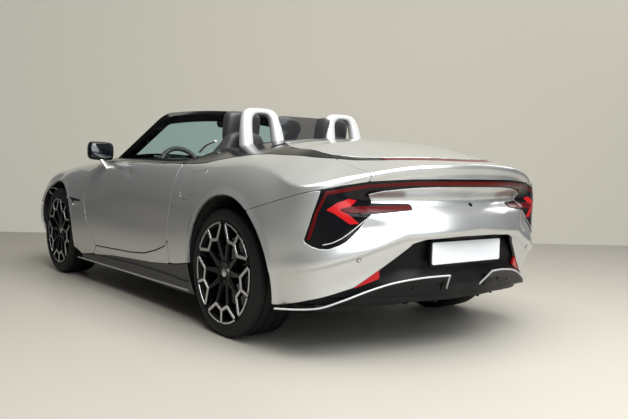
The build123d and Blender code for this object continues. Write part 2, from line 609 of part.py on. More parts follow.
    # inner structure
    tub = core - from_side(grown(DOOR_LINE, SHUT_GAP), across(TUB_SIDE), across(DOOR_FACE - DOOR_DEPTH + 10))
    tub = tub - door_plug(SHUT_GAP + 8) - wells
    tub -= from_side(CABIN_LINE, -10, across(690))
    tub -= block(-10, across(TUB_SIDE) + 1, along(-480), along(640), tall(430), BIG)
    tub -= block(-10, across(420), along(-1960), along(-1010), tall(560), BIG)
    tub -= block(-10, across(470), along(1290), along(2140), tall(540), BIG)
    tub -= block(-10, FRONT_WHEEL_X - FRONT_WELL_IN + 1, FRONT_AXLE - 300, FRONT_AXLE + 300, 0, FRONT_WELL_TOP)
    tub -= block(-10, REAR_WHEEL_X - REAR_WELL_IN + 1, REAR_AXLE - 320, REAR_AXLE + 330, 0, REAR_WELL_TOP)
    tub -= block(-10, across(620), along(-800), along(900), 0, BATTERY_TOP)
    tub -= block(-10, LID_HALF + 10, along(LID_FRONT) - 6, along(1290) + 1, LID_AXIS[1] - 80, BIG)
    for x, axis in ((BONNET_HINGE_X, BONNET_AXIS), (LID_HINGE_X, LID_AXIS)):
        y, z = axis
        span = (x - 75, x + 95) if x > LID_HALF else (-10, LID_HALF + 10)
        tub -= bar_x(span[0], span[1], y, z, HINGE_ROOM)
        tub += lid_post(x, axis, z - 90)
    tub -= door_arm_room() + from_side(DOOR_WAIST_ROOM, across(762), across(DOOR_FACE))
    tub -= door_hinge_lugs()
    tub -= plate_tray(SEAT_GAP)
    for pad in jack_pads():
        tub += pad
    for name, y0, y1 in TUB_PARTS:
        nodes[name] = both_sides(lump(tub & block(-10, 1200, along(y0), along(y1) - SEAT_GAP, 0, BIG)))
    nodes["battery_pack"] = block(-across(620), across(620), along(-800), along(900), FLOOR_HEIGHT, BATTERY_TOP)
    nodes["front_subframe"] = front_subframe()
    nodes["rear_subframe"] = rear_subframe()
    nodes["drive_motor"] = block(-230, 230, REAR_AXLE - 190, REAR_AXLE + 190, FLOOR_HEIGHT + 30, REAR_WELL_TOP)

    # windscreen
    body_top = both_sides(half_form(-SEAT_GAP) & block(-10, 1000, along(-1000), along(-200), 600, 1300))
    window = screen(-0.87, 0.87, 0.06, 0.90, -60, 90)
    frame = screen(-1, 1, -0.02, 1, -14, 12) - window - body_top
    frame -= both_sides(from_top(grown(BONNET_LINE, 16), 0, BIG) + cowl_hinge_room())
    nodes["windscreen_frame"] = Compound([lump(frame), both_sides(lump(cowl))])
    nodes["windscreen_glass"] = lump(screen(-0.868, 0.868, 0.061, 0.899, -3, 3) - body_top)

    # doors
    door = lump(outer & door_plug(0))
    door += door_arm()
    nodes["door_left"] = lump(door)
    nodes["door_right"] = mirror(lump(door), side_mirror)
    stalk = from_rear([(845, 880), (905, 880), (905, 950), (880, 960), (860, 940)], along(-540), along(-500))
    shell = Pos(across(900), along(-520), tall(1005)) * Box(190, 120, 145)
    shell = fillet(shell.edges(), 35)
    mirror_left = lump((stalk + shell) - half_form(-SEAT_GAP))
    nodes["mirror_left"] = mirror_left
    nodes["mirror_right"] = mirror(mirror_left, side_mirror)

    # hoops and deflector
    body_rear = half_form(-SEAT_GAP) & block(-10, 900, along(650), along(1200), 900, 1300)
    nodes.update(hoops(body_rear))
    nodes.update(cabin())

    # wheels
    stations = (
        ("front_left", FRONT_WHEEL_X, FRONT_AXLE, FRONT_TYRE_R, FRONT_TYRE_W),
        ("rear_left", REAR_WHEEL_X, REAR_AXLE, REAR_TYRE_R, REAR_TYRE_W),
    )
    for name, x, y, r, w in stations:
        place = Location((x, y, r))
        other = name.replace("left", "right")
        for kind, piece in (("wheel_", wheel(w)), ("tyre_", tyre(r, w))):
            nodes[kind + name] = piece.moved(place)
            nodes[kind + other] = mirror(piece.moved(place), side_mirror)
    steered = knuckle(True, FRONT_WHEEL_X).moved(Location((FRONT_WHEEL_X, FRONT_AXLE, FRONT_TYRE_R)))
    nodes["knuckle_front_left"] = steered
    nodes["knuckle_front_right"] = mirror(steered, side_mirror)
    fixed = rear_knuckles()
    nodes["rear_knuckles"] = Compound([fixed, mirror(fixed, side_mirror)])

    for name, shape in nodes.items():
        export_step(shape, "parts/" + name + ".step")


def hoops(body_rear):
    """Two inverted-U hoops behind the seats and the deflector panel between them."""
    x, wide, top = across(375), 300.0, SCREEN_HEIGHT - 46
    y0, y1, base = along(800), along(930), tall(1000)
    shapes = {}

    def arch(half, height, r, depth0, depth1):
        outline = Polyline((-half, base), (half, base), (half * 0.82, height), (-half * 0.82, height), close=True)
        face = make_face(Plane.XZ * outline)
        corners = face.vertices().sort_by(Axis.Z)[-2:]
        return extrude(fillet(corners, r), amount=-(depth1 - depth0)).moved(Location((x, depth0, 0)))

    hoop = arch(wide / 2, top, 70, y0, y1) - arch(wide / 2 - 44, top - 42, 44, y0 - 10, y1 + 10)
    left = hoop - body_rear
    pieces = sorted(left.solids(), key=lambda s: s.volume)
    left = pieces[-1]
    shapes["roll_hoops"] = Compound([left, mirror(left, Plane.YZ)])
    panel = block(0, x - wide / 2 * 0.8, y0 + 60, y0 + 72, base, top - 50) - body_rear - hoop
    panel = sorted(panel.solids(), key=lambda s: s.volume)[-1]
    shapes["wind_deflector"] = both_sides(panel)
    return shapes


SEAT_X = 375.0
SEAT_LINE = [
    (-60, 300), (-60, 420), (-20, 452), (60, 440), (330, 400), (380, 440), (505, 900), (540, 1090), (590, 1100),
    (625, 1060), (600, 900), (520, 420), (440, 300),
]
DASH_LINE = [
    (-560, 600), (-470, 560), (-330, 600), (-290, 700), (-270, 800), (-320, 880), (-400, 915), (-478, 918),
    (-478, 870), (-560, 850),
]
CONSOLE_LINE = [(-700, 255.3), (480, 255.3), (500, 560), (300, 600), (0, 610), (-340, 590), (-480, 555), (-700, 500)]
WHEEL_CENTRE = (SEAT_X, -250.0, 890.0)
WHEEL_R = 178.0
WHEEL_TILT = 22.0


def cabin():
    shapes = {}
    seat = from_side(SEAT_LINE, across(SEAT_X) - 240, across(SEAT_X) + 240)
    rest = [(530, 1096), (520, 1180), (540, 1255), (600, 1262), (632, 1200), (625, 1064)]
    seat += from_side(rest, across(SEAT_X) - 130, across(SEAT_X) + 130)
    rail = block(across(SEAT_X) - 200, across(SEAT_X) + 200, along(-20), along(400), tall(255), tall(300))
    seat += rail
    shapes["seat_left"] = seat
    shapes["seat_right"] = mirror(seat, Plane.YZ)
    dash = from_side(DASH_LINE, -across(690) + SEAT_GAP, across(690) - SEAT_GAP)
    shapes["centre_console"] = from_side(CONSOLE_LINE, -across(105), across(105))
    x, y, z = across(WHEEL_CENTRE[0]), along(WHEEL_CENTRE[1]), tall(WHEEL_CENTRE[2])
    facing = Location((x, y, z), (-(90 - WHEEL_TILT), 0, 0))
    rim = Torus(WHEEL_R - 15, 15)
    boss = Cylinder(55, 40) + Pos(0, 0, -30) * Cylinder(18, 120)
    bars = Box(2 * WHEEL_R - 30, 34, 14) + Pos(0, WHEEL_R / 2, 0) * Box(40, WHEEL_R - 20, 14)
    shapes["steering_wheel"] = (rim + boss + bars).moved(facing)
    shaft = (Pos(0, 0, -60) * Cylinder(18 + PIN_FIT, 130)).moved(facing)
    shroud = (Pos(0, 0, -75) * Cylinder(42, 60)).moved(facing)
    shapes["dashboard"] = (dash + shroud) - shaft - shapes["centre_console"]
    return shapes


main()
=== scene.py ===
import math

import bpy
import numpy as np
from mathutils import Matrix, Vector


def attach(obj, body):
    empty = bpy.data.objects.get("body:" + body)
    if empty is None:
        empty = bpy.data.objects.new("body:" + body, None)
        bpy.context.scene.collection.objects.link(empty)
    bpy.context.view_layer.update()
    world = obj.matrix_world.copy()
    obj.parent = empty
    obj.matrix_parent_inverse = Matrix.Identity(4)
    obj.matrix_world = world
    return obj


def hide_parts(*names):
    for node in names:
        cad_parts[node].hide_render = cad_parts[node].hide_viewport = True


bl_info = {
    "name": "Roadster dressing",
    "version": (1, 0, 0),
    "blender": (4, 5, 0),
    "location": "3D View > Sidebar > Roadster",
    "description": "Paint, lamps, wheels, cabin and studio for a two-seat roadster",
    "category": "Object",
}

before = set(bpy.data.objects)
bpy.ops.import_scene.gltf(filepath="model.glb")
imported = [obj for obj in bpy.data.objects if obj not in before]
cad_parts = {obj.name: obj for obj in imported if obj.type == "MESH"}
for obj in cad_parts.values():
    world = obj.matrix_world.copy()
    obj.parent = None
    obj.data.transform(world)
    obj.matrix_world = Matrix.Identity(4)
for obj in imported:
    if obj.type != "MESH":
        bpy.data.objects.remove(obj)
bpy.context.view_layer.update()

# --- sizes shared by the pieces, millimetres until they reach a mesh
FRONT_AXLE, REAR_AXLE = -1402.5, 1287.5
WHEEL_X = 782.0
FRONT_TYRE, REAR_TYRE = (352.0, 245.0), (350.0, 275.0)
RIM_EDGE = 274.0
FRONT_ARCH = (FRONT_AXLE, 352.0, 410.0)
REAR_ARCH = (REAR_AXLE + 48.0, 358.0, 415.0)
SEAM_Y = 1985.0
STEP = 4.0
COUNTS = (102, 84, 210)

# turn, centre y | bottom r, z, angle | widest r, z, angle | shoulder r, z, angle below, above | spine z, slope
STATIONS = np.array([
    (-90, -1560, 610, 185, -55, 707.5, 430, 0, 590, 655, 52, 74, 838, 0.20),
    (-60, -1548, 680, 185, -50, 782, 430, 0, 668, 655, 50, 74, 840, 0.20),
    (-35, -1530, 790, 185, -45, 930, 440, 0, 810, 712, 50, 72, 844, 0.20),
    (-15, -1500, 850, 190, -30, 962, 470, 0, 850, 812, 48, 70, 850, 0.20),
    (0, -1402, 880, 170, -20, 937, 500, 0, 790, 868, 55, 72, 872, 0.18),
    (0, -1000, 880, 165, -18, 930, 540, 2, 800, 905, 45, 71, 938, 0.14),
    (0, -560, 872, 165, -15, 920, 560, 3, 845, 925, 35, 68, 985, 0.10),
    (0, -50, 868, 165, -12, 908, 530, 3, 858, 930, 30, 66, 1010, 0.05),
    (0, 450, 875, 165, -12, 913, 530, 2, 862, 925, 30, 64, 1040, 0.05),
    (0, 820, 890, 170, -12, 932, 560, 1, 850, 930, 40, 63, 1088, 0.05),
    (0, 1060, 900, 185, -12, 948, 600, 0, 835, 948, 52, 65, 1104, 0.02),
    (0, 1287, 905, 215, -12, 957, 640, 0, 822, 962, 60, 68, 1100, -0.02),
    (0, 1480, 912, 235, -12, 955, 640, 0, 828, 950, 58, 68, 1090, -0.06),
    (10, 1560, 915, 250, -12, 957, 620, 0, 885, 885, 36, 56, 1083, -0.09),
    (22, 1568, 905, 260, -10, 950, 600, 0, 948, 836, 6, 58, 1082, -0.09),
    (35, 1578, 815, 262, -8, 856, 600, 0, 838, 887, 3, 68, 1081, -0.09),
    (60, 1592, 672, 262, -6, 708, 600, 0, 700, 944, 2, 74, 1080, -0.09),
    (90, 1605, 612, 262, -6, 662.5, 600, 0, 645, 957, 2, 76, 1079, -0.09),
])
HANDLE = 0.36
SIDES = (("left", 1), ("right", -1))
PANEL_WALL = 18.0
BEND = 40.0
HEADING = 4.051794
LAMP_FRONT = 1900.0
LID_FRONT = 1262.0
PALE_FRONT = 1100.0
HOOP_X = 335.0
PLATE_Z = 513.0
SEAT_X = 0.375
STEERING = (SEAT_X, -0.25, 0.89)
DIFFUSER_FRONT = 1640.0
LAMP_HOLE = (-2300, -1650, 560, 720)
VENT_BOX = (-1150, -800, 560, 680)
HOOP_REAR, HOOP_FRONT, HOOP_LOW, HOOP_RISE = (828, 62), (738, 30), 1030, 244
DOUBLES = 0.00001
WALL_AWAY, WALL_SIZE = 9.2, (10, 9.4)
LAMP_GAP = 3
CAMERA_AT = (2.8862, 4.6094, 0.9328)

# --- outlines: side (y, z), plan (x, y) or rear (x, z)
DOOR_LINE = [
    (-561, 312), (-294, 318), (47, 329), (263, 346), (452, 386), (590, 427), (630, 466), (636, 586), (667, 697),
    (694, 830), (706, 1100), (-630, 1100), (-630, 940), (-638, 911), (-637, 900), (-642, 889), (-712, 811),
    (-762, 720),
    (-770, 670), (-764, 611), (-705, 487), (-634, 380),
]
BONNET_LINE = [
    (-10, -2080), (250, -2066), (450, -2010), (590, -1905), (660, -1750), (700, -1500), (712, -1150),
    (700, -820), (678, -745), (560, -756), (380, -800), (200, -832), (-10, -845),
]
COWL_LINE = [
    (-10, -845), (200, -832), (380, -800), (560, -756), (678, -745), (765, -700), (765, -480), (-10, -480),
]
TONNEAU_LINE = [(-10, 735), (560, 735), (572, 880), (592, 1249), (-10, 1249)]
LAMP_LINE = [
    (580, 716), (601, 697), (647, 641), (716, 581), (750, 562), (786, 548), (820, 549), (844, 558), (863, 573),
    (867, 588),
    (842, 714), (812, 822), (727, 840), (607, 860), (498, 869), (394, 875), (245, 879), (130, 879), (-10, 880),
    (-10, 846),
    (121, 846), (236, 844), (336, 840), (429, 832), (516, 821), (586, 802), (556, 770), (562, 738),
]
BAR_TOP = ([0, 130, 245, 394, 498, 607, 727, 812], [880, 879, 879, 875, 869, 860, 840, 822])
TAIL_LINE = [
    (-10, 0), (1100, 0), (1100, 600), (867, 588), (812, 822), (727, 841), (607, 861), (498, 870), (394, 876),
    (245, 880),
    (130, 880), (-10, 881),
]
QUARTER_LINE = [
    (638, 325), (720, 330), (975, 368), (1287, 500), (1480, 682), (1545, 700), (SEAM_Y, 822), (2400, 822),
    (2400, 1300), (600, 1300), (600, 480), (638, 462),
]
REAR_LOWER = [(1300, 100), (2400, 100), (2400, 818), (SEAM_Y, 818), (1545, 696), (1480, 678), (1300, 500)]
SILL_LINE = [
    (-880, 130), (985, 130), (975, 363), (720, 325), (632, 320), (632, 457), (590, 420), (452, 379),
    (263, 339), (47, 322), (-294, 311), (-566, 305), (-640, 236), (-880, 210),
]
FENDER_LINE = [
    (-880, 215), (-640, 241), (-568, 310), (-400, 500), (-400, 1300), (-2120, 1300), (-2120, 742), (-1985, 690),
    (-1740, 560), (-1402, 400),
]
FLAP_LINE = [(856, 880), (800, 800), (795, 770), (801, 740), (835, 722), (889, 721), (1017, 783), (1058, 880),
    (1050, 900)]
HEADLAMP_LINE = [(470, 596), (640, 606), (800, 640), (870, 690), (800, 694), (640, 662), (480, 636)]
INTAKE_LINE = [(-10, 235), (430, 235), (520, 300), (490, 390), (440, 420), (-10, 420)]
DIFFUSER_LINE = [
    (-10, 80), (1000, 80), (1000, 240), (890, 254), (856, 273), (820, 291), (766, 308), (712, 327), (640, 354),
    (591, 390),
    (508, 455), (441, 510), (401, 545), (383, 566), (320, 586), (130, 598), (-10, 598),
]
PAINT_EDGE = ([-873, -276, 352, 720, 949], [214, 265, 294, 327, 368])
# the black strip along the belt and round the deck: outer edge as (y, x), inner edge as (y, x)
STRIP_EDGE = (
    [-700, -360, -156, 141, 443, 683, 965, 1158, 1300, 1376, 1443, 1519, 1599, 1669, 1727, 1773, 1822, 1865, 1900,
    1933,
     1970, 2003, 2036, 2088, 2134, 2171, 2186, 2190],
    [830, 834, 835, 843, 846, 848, 842, 805, 766, 748, 730, 716, 706, 694, 673, 645, 614, 582, 549, 514,
     477, 443, 401, 335, 241, 136, 60, -20],
)
STRIP_INNER = (
    [700, 1050, 1129, 1230, 1335, 1431, 1548, 1651, 1715, 1769, 1825, 1861, 1895, 1929, 1967, 2011, 2049, 2092, 2122,
     2136, 2140],
    [300, 350, 413, 480, 539, 581, 600, 600, 592, 578, 550, 517, 478, 443, 406, 356, 296, 196, 95, 30, -20],
)
LID_EDGE = 602.0
LEDGE = ([0, 150, 260, 411, 513, 615, 714, 768, 862], [954, 951, 947, 936, 923, 901, 878, 866, 845])
CREASE = ([0, 430, 700, 860, 945, 1100], [632, 602, 505, 452, 424, 400])


# --- shader maths
class Sock:
    """A socket or a number in a shader, so that masks are written as sums."""

    def __init__(self, tree, value):
        self.tree, self.value = tree, value

    def _maths(self, other, operation, swap=False):
        pair = [other, self] if swap else [self, other]
        pair = [p.value if isinstance(p, Sock) else p for p in pair]
        return Sock(self.tree, node(self.tree, "ShaderNodeMath", {"operation": operation}, {0: pair[0], 1: pair[1]}))

    def __add__(self, o):
        return self._maths(o, "ADD")

    def __radd__(self, o):
        return self._maths(o, "ADD", True)

    def __mul__(self, o):
        return self._maths(o, "MULTIPLY")


def node(tree, kind, settings, inputs, out=0):
    made = tree.nodes.new(kind)
    for key, value in settings.items():
        setattr(made, key, value)
    for key, value in inputs.items():
        value = value.value if isinstance(value, Sock) else value
        if isinstance(value, bpy.types.NodeSocket):
            tree.links.new(value, made.inputs[key])
        else:
            made.inputs[key].default_value = value
    return made.outputs[out]


class Finish:
    """A material whose sockets are set by name; patterns read object coordinates."""

    def __init__(self, name, colour, rough, metal=0.0, coat=0.0, **sockets):
        self.material = bpy.data.materials.new(name)
        self.material.use_nodes = True
        self.tree = self.material.node_tree
        self.bsdf = self.tree.nodes["Principled BSDF"]
        self.set("Base Color", (*colour, 1.0))
        self.set("Roughness", rough)
        self.set("Metallic", metal)
        self.set("Coat Weight", coat)
        for key, value in sockets.items():
            self.set(key.replace("_", " "), value)
        self.place = node(self.tree, "ShaderNodeTexCoord", {}, {}, "Object")

    def set(self, socket, value):
        value = value.value if isinstance(value, Sock) else value
        if isinstance(value, bpy.types.NodeSocket):
            self.tree.links.new(value, self.bsdf.inputs[socket])
        else:
            self.bsdf.inputs[socket].default_value = value

    def noise(self, scale, detail=2.0, rough=0.5):
        return Sock(self.tree, node(self.tree, "ShaderNodeTexNoise", {}, {
            "Vector": self.place, "Scale": scale, "Detail": detail, "Roughness": rough}, "Fac"))

    def cells(self, scale):
        return Sock(self.tree, node(self.tree, "ShaderNodeTexVoronoi", {}, {
            "Vector": self.place, "Scale": scale}, "Distance"))

    def wave(self, scale, direction):
        return Sock(self.tree, node(self.tree, "ShaderNodeTexWave", {"bands_direction": direction}, {
            "Vector": self.place, "Scale": scale}, "Fac"))

    def mix(self, mask, first, second):
        return Sock(self.tree, node(self.tree, "ShaderNodeMix", {"data_type": "RGBA"}, {
            0: mask, 6: (*first, 1.0), 7: (*second, 1.0)}, 2))

    def spread(self, mask, low, high):
        return low + mask * (high - low)

    def bump(self, height, strength, distance):
        self.set("Normal", node(self.tree, "ShaderNodeBump", {}, {
            "Height": height, "Strength": strength, "Distance": distance}))


FINISHES = {}


def finish(key, name, colour, rough, *more, vary, **sockets):
    """A named finish; vary holds the noise's scale, the roughness it runs between and, if not 2, its detail."""
    made = FINISHES[key] = Finish(name, colour, rough, *more, **sockets)
    scale, low, high, detail = (*vary, 2.0)[:4]
    made.set("Roughness", made.spread(made.noise(scale, detail), low, high))
    return made


def make_finishes(look):
    paint = finish("paint", "silver_metallic_paint", look.paint, look.paint_rough, 0.75, 1.0, Coat_Roughness=0.04,
                   vary=(3.0, look.paint_rough - 0.03, look.paint_rough + 0.03))
    paint.set("Base Color", paint.mix(paint.cells(2600.0), tuple(c * 0.94 for c in look.paint),
                                      tuple(min(1, c * 1.08) for c in look.paint)))
    finish("gloss_black", "piano_black", (0.004, 0.004, 0.005), 0.16, 0.0, 0.05, Specular_IOR_Level=0.22,
           Coat_Roughness=0.05, vary=(6.0, 0.10, 0.17))
    satin = finish("moulded_black", "moulded_black", (0.005, 0.005, 0.0055), 0.45, Specular_IOR_Level=0.2,
                   vary=(20.0, 0.4, 0.52))
    satin.bump(satin.noise(900.0, 3.0), 0.12, 0.0004)
    liner = FINISHES["liner"] = Finish("felt_liner", (0.006, 0.006, 0.006), 0.95)
    liner.bump(liner.noise(400.0, 4.0), 0.3, 0.001)
    finish("turned", "turned_alloy", (0.55, 0.55, 0.56), 0.26, 0.95, 0.3, vary=(260.0, 0.2, 0.32))
    finish("rim", "rim_black", (0.003, 0.003, 0.0035), 0.3, 0.0, 0.03, Specular_IOR_Level=0.2,
        vary=(30.0, 0.18, 0.28))
    finish("disc", "disc_steel", (0.32, 0.32, 0.33), 0.35, 1.0, vary=(120.0, 0.25, 0.45, 4.0))
    cast = FINISHES["cast"] = Finish("cast_alloy", (0.10, 0.10, 0.105), 0.55, 0.6)
    cast.bump(cast.noise(300.0, 4.0), 0.25, 0.0008)
    rubber = finish("rubber", "tyre_rubber", (0.009, 0.009, 0.0095), 0.62, Specular_IOR_Level=0.25,
                    vary=(60.0, 0.52, 0.72, 3.0))
    rubber.bump(rubber.noise(700.0, 3.0), 0.15, 0.0006)
    finish("bright", "satin_alloy", (0.66, 0.66, 0.67), 0.28, 0.85, 0.4, vary=(90.0, 0.24, 0.34))
    finish("hoop", "hoop_silver", (0.5, 0.5, 0.51), 0.45, 0.2, 0.2, vary=(60.0, 0.38, 0.46))
    # the lamp red glows faintly; the rear reflectors take it too, a painted glow on a part that is no lamp
    red = FINISHES["red"] = Finish("lamp_red", look.lamp_red, 0.18, 0.0, 0.1, Emission_Strength=0.05,
        Specular_IOR_Level=0.25)
    red.set("Emission Color", red.mix(red.wave(60.0, "Z"), look.lamp_red, tuple(c * 0.5 for c in look.lamp_red)))
    dark_red = FINISHES["dark_red"] = Finish("lamp_dark_red", (0.12, 0.003, 0.004), 0.22, 0.0, 0.0,
        Specular_IOR_Level=0.2)
    dark_red.set("Base Color", dark_red.mix(dark_red.wave(45.0, "X"), (0.10, 0.002, 0.003), (0.05, 0.001, 0.002)))
    beads = FINISHES["beads"] = Finish("lamp_beads", (0.6, 0.6, 0.6), 0.3, 0.3, 0.2)
    beads.set("Base Color", beads.mix(beads.wave(40.0, "X"), (0.05, 0.01, 0.01), (0.75, 0.74, 0.74)))
    finish("lens", "lamp_lens", (0.85, 0.88, 0.9), 0.05, 0.0, 1.0, Transmission_Weight=0.85, IOR=1.45,
           vary=(12.0, 0.03, 0.08))
    glow = FINISHES["white_lamp"] = Finish("lamp_white", (0.9, 0.92, 0.95), 0.25, 0.0, 0.5, Emission_Strength=0.3)
    glow.set("Emission Color", glow.mix(glow.wave(50.0, "X"), (0.9, 0.93, 1.0), (0.6, 0.65, 0.7)))
    glass = FINISHES["glass"] = Finish("tinted_glass", (0.42, 0.62, 0.66), 0.02, 0.0, 0.0, Transmission_Weight=1.0,
        IOR=1.01)
    glass.set("Alpha", glass.spread(glass.noise(2.0), 0.90, 0.94))
    leather = finish("leather", "seat_leather", look.leather, 0.5, vary=(40.0, 0.42, 0.58, 3.0))
    leather.bump(leather.cells(420.0), 0.25, 0.0009)
    leather.set("Base Color", leather.mix(leather.noise(5.0), tuple(c * 0.85 for c in look.leather), look.leather))
    pale = finish("pale_leather", "pale_leather", (0.5, 0.5, 0.5), 0.45, vary=(30.0, 0.4, 0.5))
    pale.bump(pale.cells(420.0), 0.2, 0.0008)
    cloth = finish("soft_trim", "soft_trim", (0.018, 0.018, 0.02), 0.75, vary=(15.0, 0.68, 0.82))
    cloth.bump(cloth.noise(1100.0, 2.0), 0.25, 0.0005)
    # near-black glossy screens; the door mirror glass takes this finish too, its dark reflection painted in as
    # near-black colour
    finish("screen", "dark_screen_and_painted_mirror_shade", (0.004, 0.005, 0.007), 0.08, 0.0, 0.8, vary=(4.0, 0.06, 0.1))
    finish("plate", "blank_plate", (0.72, 0.73, 0.75), 0.32, vary=(80.0, 0.28, 0.38))
    smoked = FINISHES["smoked"] = Finish("smoked_panel", (0.03, 0.03, 0.032), 0.2, 0.0, 0.5)
    smoked.set("Alpha", smoked.spread(smoked.cells(500.0), 0.56, 0.64))


# --- the body's form as a fine grid of points
def monotone(x, table, at):
    """Each column of the table on a smooth curve that doesn't overshoot, read at the given places."""
    h = np.diff(x)[:, None]
    d = np.diff(table, axis=0) / h
    m = np.zeros_like(table)
    w1, w2 = 2 * h[1:] + h[:-1], h[1:] + 2 * h[:-1]
    same = d[:-1] * d[1:] > 0
    with np.errstate(divide="ignore", invalid="ignore"):
        mid = (w1 + w2) / (w1 / d[:-1] + w2 / d[1:])
    m[1:-1] = np.where(same, mid, 0.0)
    m[0], m[-1] = d[0], d[-1]
    i = np.clip(np.searchsorted(x, at, side="right") - 1, 0, len(x) - 2)
    hi = (x[i + 1] - x[i])[:, None]
    t = ((at - x[i])[:, None]) / hi
    return (table[i] * (1 + 2 * t) * (1 - t) ** 2 + m[i] * hi * t * (1 - t) ** 2
            + table[i + 1] * t * t * (3 - 2 * t) + m[i + 1] * hi * t * t * (t - 1))


def curve(p0, p1, p2, p3, count):
    """Points evenly along a Bezier curve."""
    u = np.linspace(0, 1, 4 * count + 1)[:, None]
    q = p0 * (1 - u) ** 3 + 3 * p1 * u * (1 - u) ** 2 + 3 * p2 * u * u * (1 - u) + p3 * u ** 3
    run = np.concatenate([[0], np.cumsum(np.hypot(*np.diff(q, axis=0).T))])
    at = np.linspace(0, run[-1], count + 1)
    return np.column_stack([np.interp(at, run, q[:, 0]), np.interp(at, run, q[:, 1])])


def soften(grid, sigma, axis, odd_start, odd_end):
    """A Gaussian blur along one axis; a coordinate that is odd over an end goes on mirrored through it."""
    reach = int(3 * sigma / STEP) + 1
    k = np.exp(-0.5 * (np.arange(-reach, reach + 1) * STEP / sigma) ** 2)
    k /= k.sum()
    g = np.moveaxis(grid, axis, 0)
    lo, hi = g[1:reach + 1][::-1], g[-reach - 1:-1][::-1]
    lo = np.where(np.array(odd_start), 2 * g[:1] - lo, lo)
    hi = np.where(np.array(odd_end), 2 * g[-1:] - hi, hi)
    padded = np.concatenate([lo, g, hi])
    out = sum(w * padded[i:i + len(g)] for i, w in enumerate(k))
    return np.moveaxis(out, 0, axis)


def ease(v, a, b):
    t = np.clip((v - a) / (b - a), 0, 1)
    return t * t * (3 - 2 * t)


def make_form():
    turn = np.radians(STATIONS[:, 0])
    wide = np.column_stack([STATIONS[:, 5] * np.cos(turn), STATIONS[:, 1] + STATIONS[:, 5] * np.sin(turn)])
    run = np.concatenate([[0], np.cumsum(np.hypot(*np.diff(wide, axis=0).T))])
    rows = monotone(run, STATIONS, np.linspace(0, run[-1], int(run[-1] / STEP) // 3 * 3 + 1))
    grid = np.zeros((len(rows), sum(COUNTS) + 1, 3))
    for i, (turn, yc, rb, zb, ab, rm, zm, am, rs, zs, below, above, zt, slope) in enumerate(rows):
        c, s = math.cos(math.radians(turn)), math.sin(math.radians(turn))
        pts = []
        for r0, z0, a0, r1, z1, a1, n in ((rb, zb, ab, rm, zm, am, COUNTS[0]),
                (rm, zm, am, rs, zs, below, COUNTS[1])):
            reach = HANDLE * math.hypot(r1 - r0, z1 - z0)
            d0 = np.array([-math.sin(math.radians(a0)), math.cos(math.radians(a0))]) * reach
            d1 = np.array([-math.sin(math.radians(a1)), math.cos(math.radians(a1))]) * reach
            p0, p3 = np.array([r0, z0]), np.array([r1, z1])
            pts.append(curve(p0, p0 + d0, p3 - d1, p3, n)[:-1])
        reach = HANDLE * rs
        rise = np.array([-math.sin(math.radians(above)), math.cos(math.radians(above))]) * reach
        p0 = np.array([rs, zs])
        pts.append(curve(p0, p0 + rise, np.array([reach, zt + slope * s * reach]), np.array([0.0, zt]), COUNTS[2]))
        rz = np.concatenate(pts)
        grid[i] = np.column_stack([rz[:, 0] * c, yc + rz[:, 0] * s, rz[:, 1]])
    ends, low, high = (True, False, False), (True, True, True), (True, False, False)
    broad = soften(soften(grid, 22.0, 1, low, high), 45.0, 0, ends, ends)
    fine = soften(soften(grid, 6.0, 1, low, high), 24.0, 0, ends, ends)
    weight = (ease(grid[:, COUNTS[0], 1], -1900, -1500) * (1 - ease(rows[:, 0], 2, 16)))[:, None, None]
    grid = broad * weight + fine * (1 - weight)
    normal = normals_of(grid)
    grid = grid + normal * relief(grid)[..., None]
    return grid, normals_of(grid)


def normals_of(grid):
    n = np.cross(np.gradient(grid, axis=0), np.gradient(grid, axis=1))
    size = np.linalg.norm(n, axis=2, keepdims=True)
    n = n / np.maximum(size, 1e-9)
    flank = n[len(n) // 2, COUNTS[0], 0]
    n = n if flank > 0 else -n
    n[(size[..., 0] < 1e-6)] = (0, 0, 1)
    return n


def relief(g):
    """How far the skin stands out of the plain form: the tail's hollow and crease, and the arch lips."""
    x, y, z = np.abs(g[..., 0]), g[..., 1], g[..., 2]
    tail = ease(y, 1640, 2000)
    middle = 1 - ease(x, 560, 790)
    above = z - np.interp(x, *CREASE)
    ridge = 13 * np.exp(-(np.maximum(above, 0) / 60) ** 2) * np.exp(-(np.minimum(above, 0) / 16) ** 2)
    tuck = -26 * ease(-above, 0, 150) * ease(y, 1700, 2050)
    pocket = -20 * np.exp(-((x - 610) / 90) ** 2) * np.exp(-((z - 650) / 70) ** 2)
    hollow = -62 * np.exp(-((z - 776) / 52) ** 2) - 14
    below = 1 - ease(z - np.interp(x, *LEDGE), -48, -14)
    out = tail * (ridge + tuck + pocket) + hollow * middle * ease(y, 1960, 2130) * below
    out += -9 * np.exp(-((y + 5) / 60) ** 2 - ((z - 861) / 21) ** 2) * (x > 780)
    for cy, cz, r in (FRONT_ARCH, REAR_ARCH):
        far = np.hypot(y - cy, z - cz) - r
        out += 7 * np.exp(-(far / 20) ** 2) * (x > 700) * (z < 800)
    return out


FORM, NORMALS = make_form()


# --- outlines as distances, positive inside
def within(points, u, v):
    p = np.asarray(points, float)
    q = np.roll(p, -1, axis=0)
    best = np.full(u.shape, 1e18)
    odd = np.zeros(u.shape, bool)
    for (ax, ay), (bx, by) in zip(p, q):
        dx, dy = bx - ax, by - ay
        t = np.clip(((u - ax) * dx + (v - ay) * dy) / (dx * dx + dy * dy), 0, 1)
        best = np.minimum(best, (u - ax - t * dx) ** 2 + (v - ay - t * dy) ** 2)
        if dy != 0:
            cross = (ay > v) != (by > v)
            odd ^= cross & (u < dx * (v - ay) / dy + ax)
    return np.where(odd, 1, -1) * np.sqrt(best)


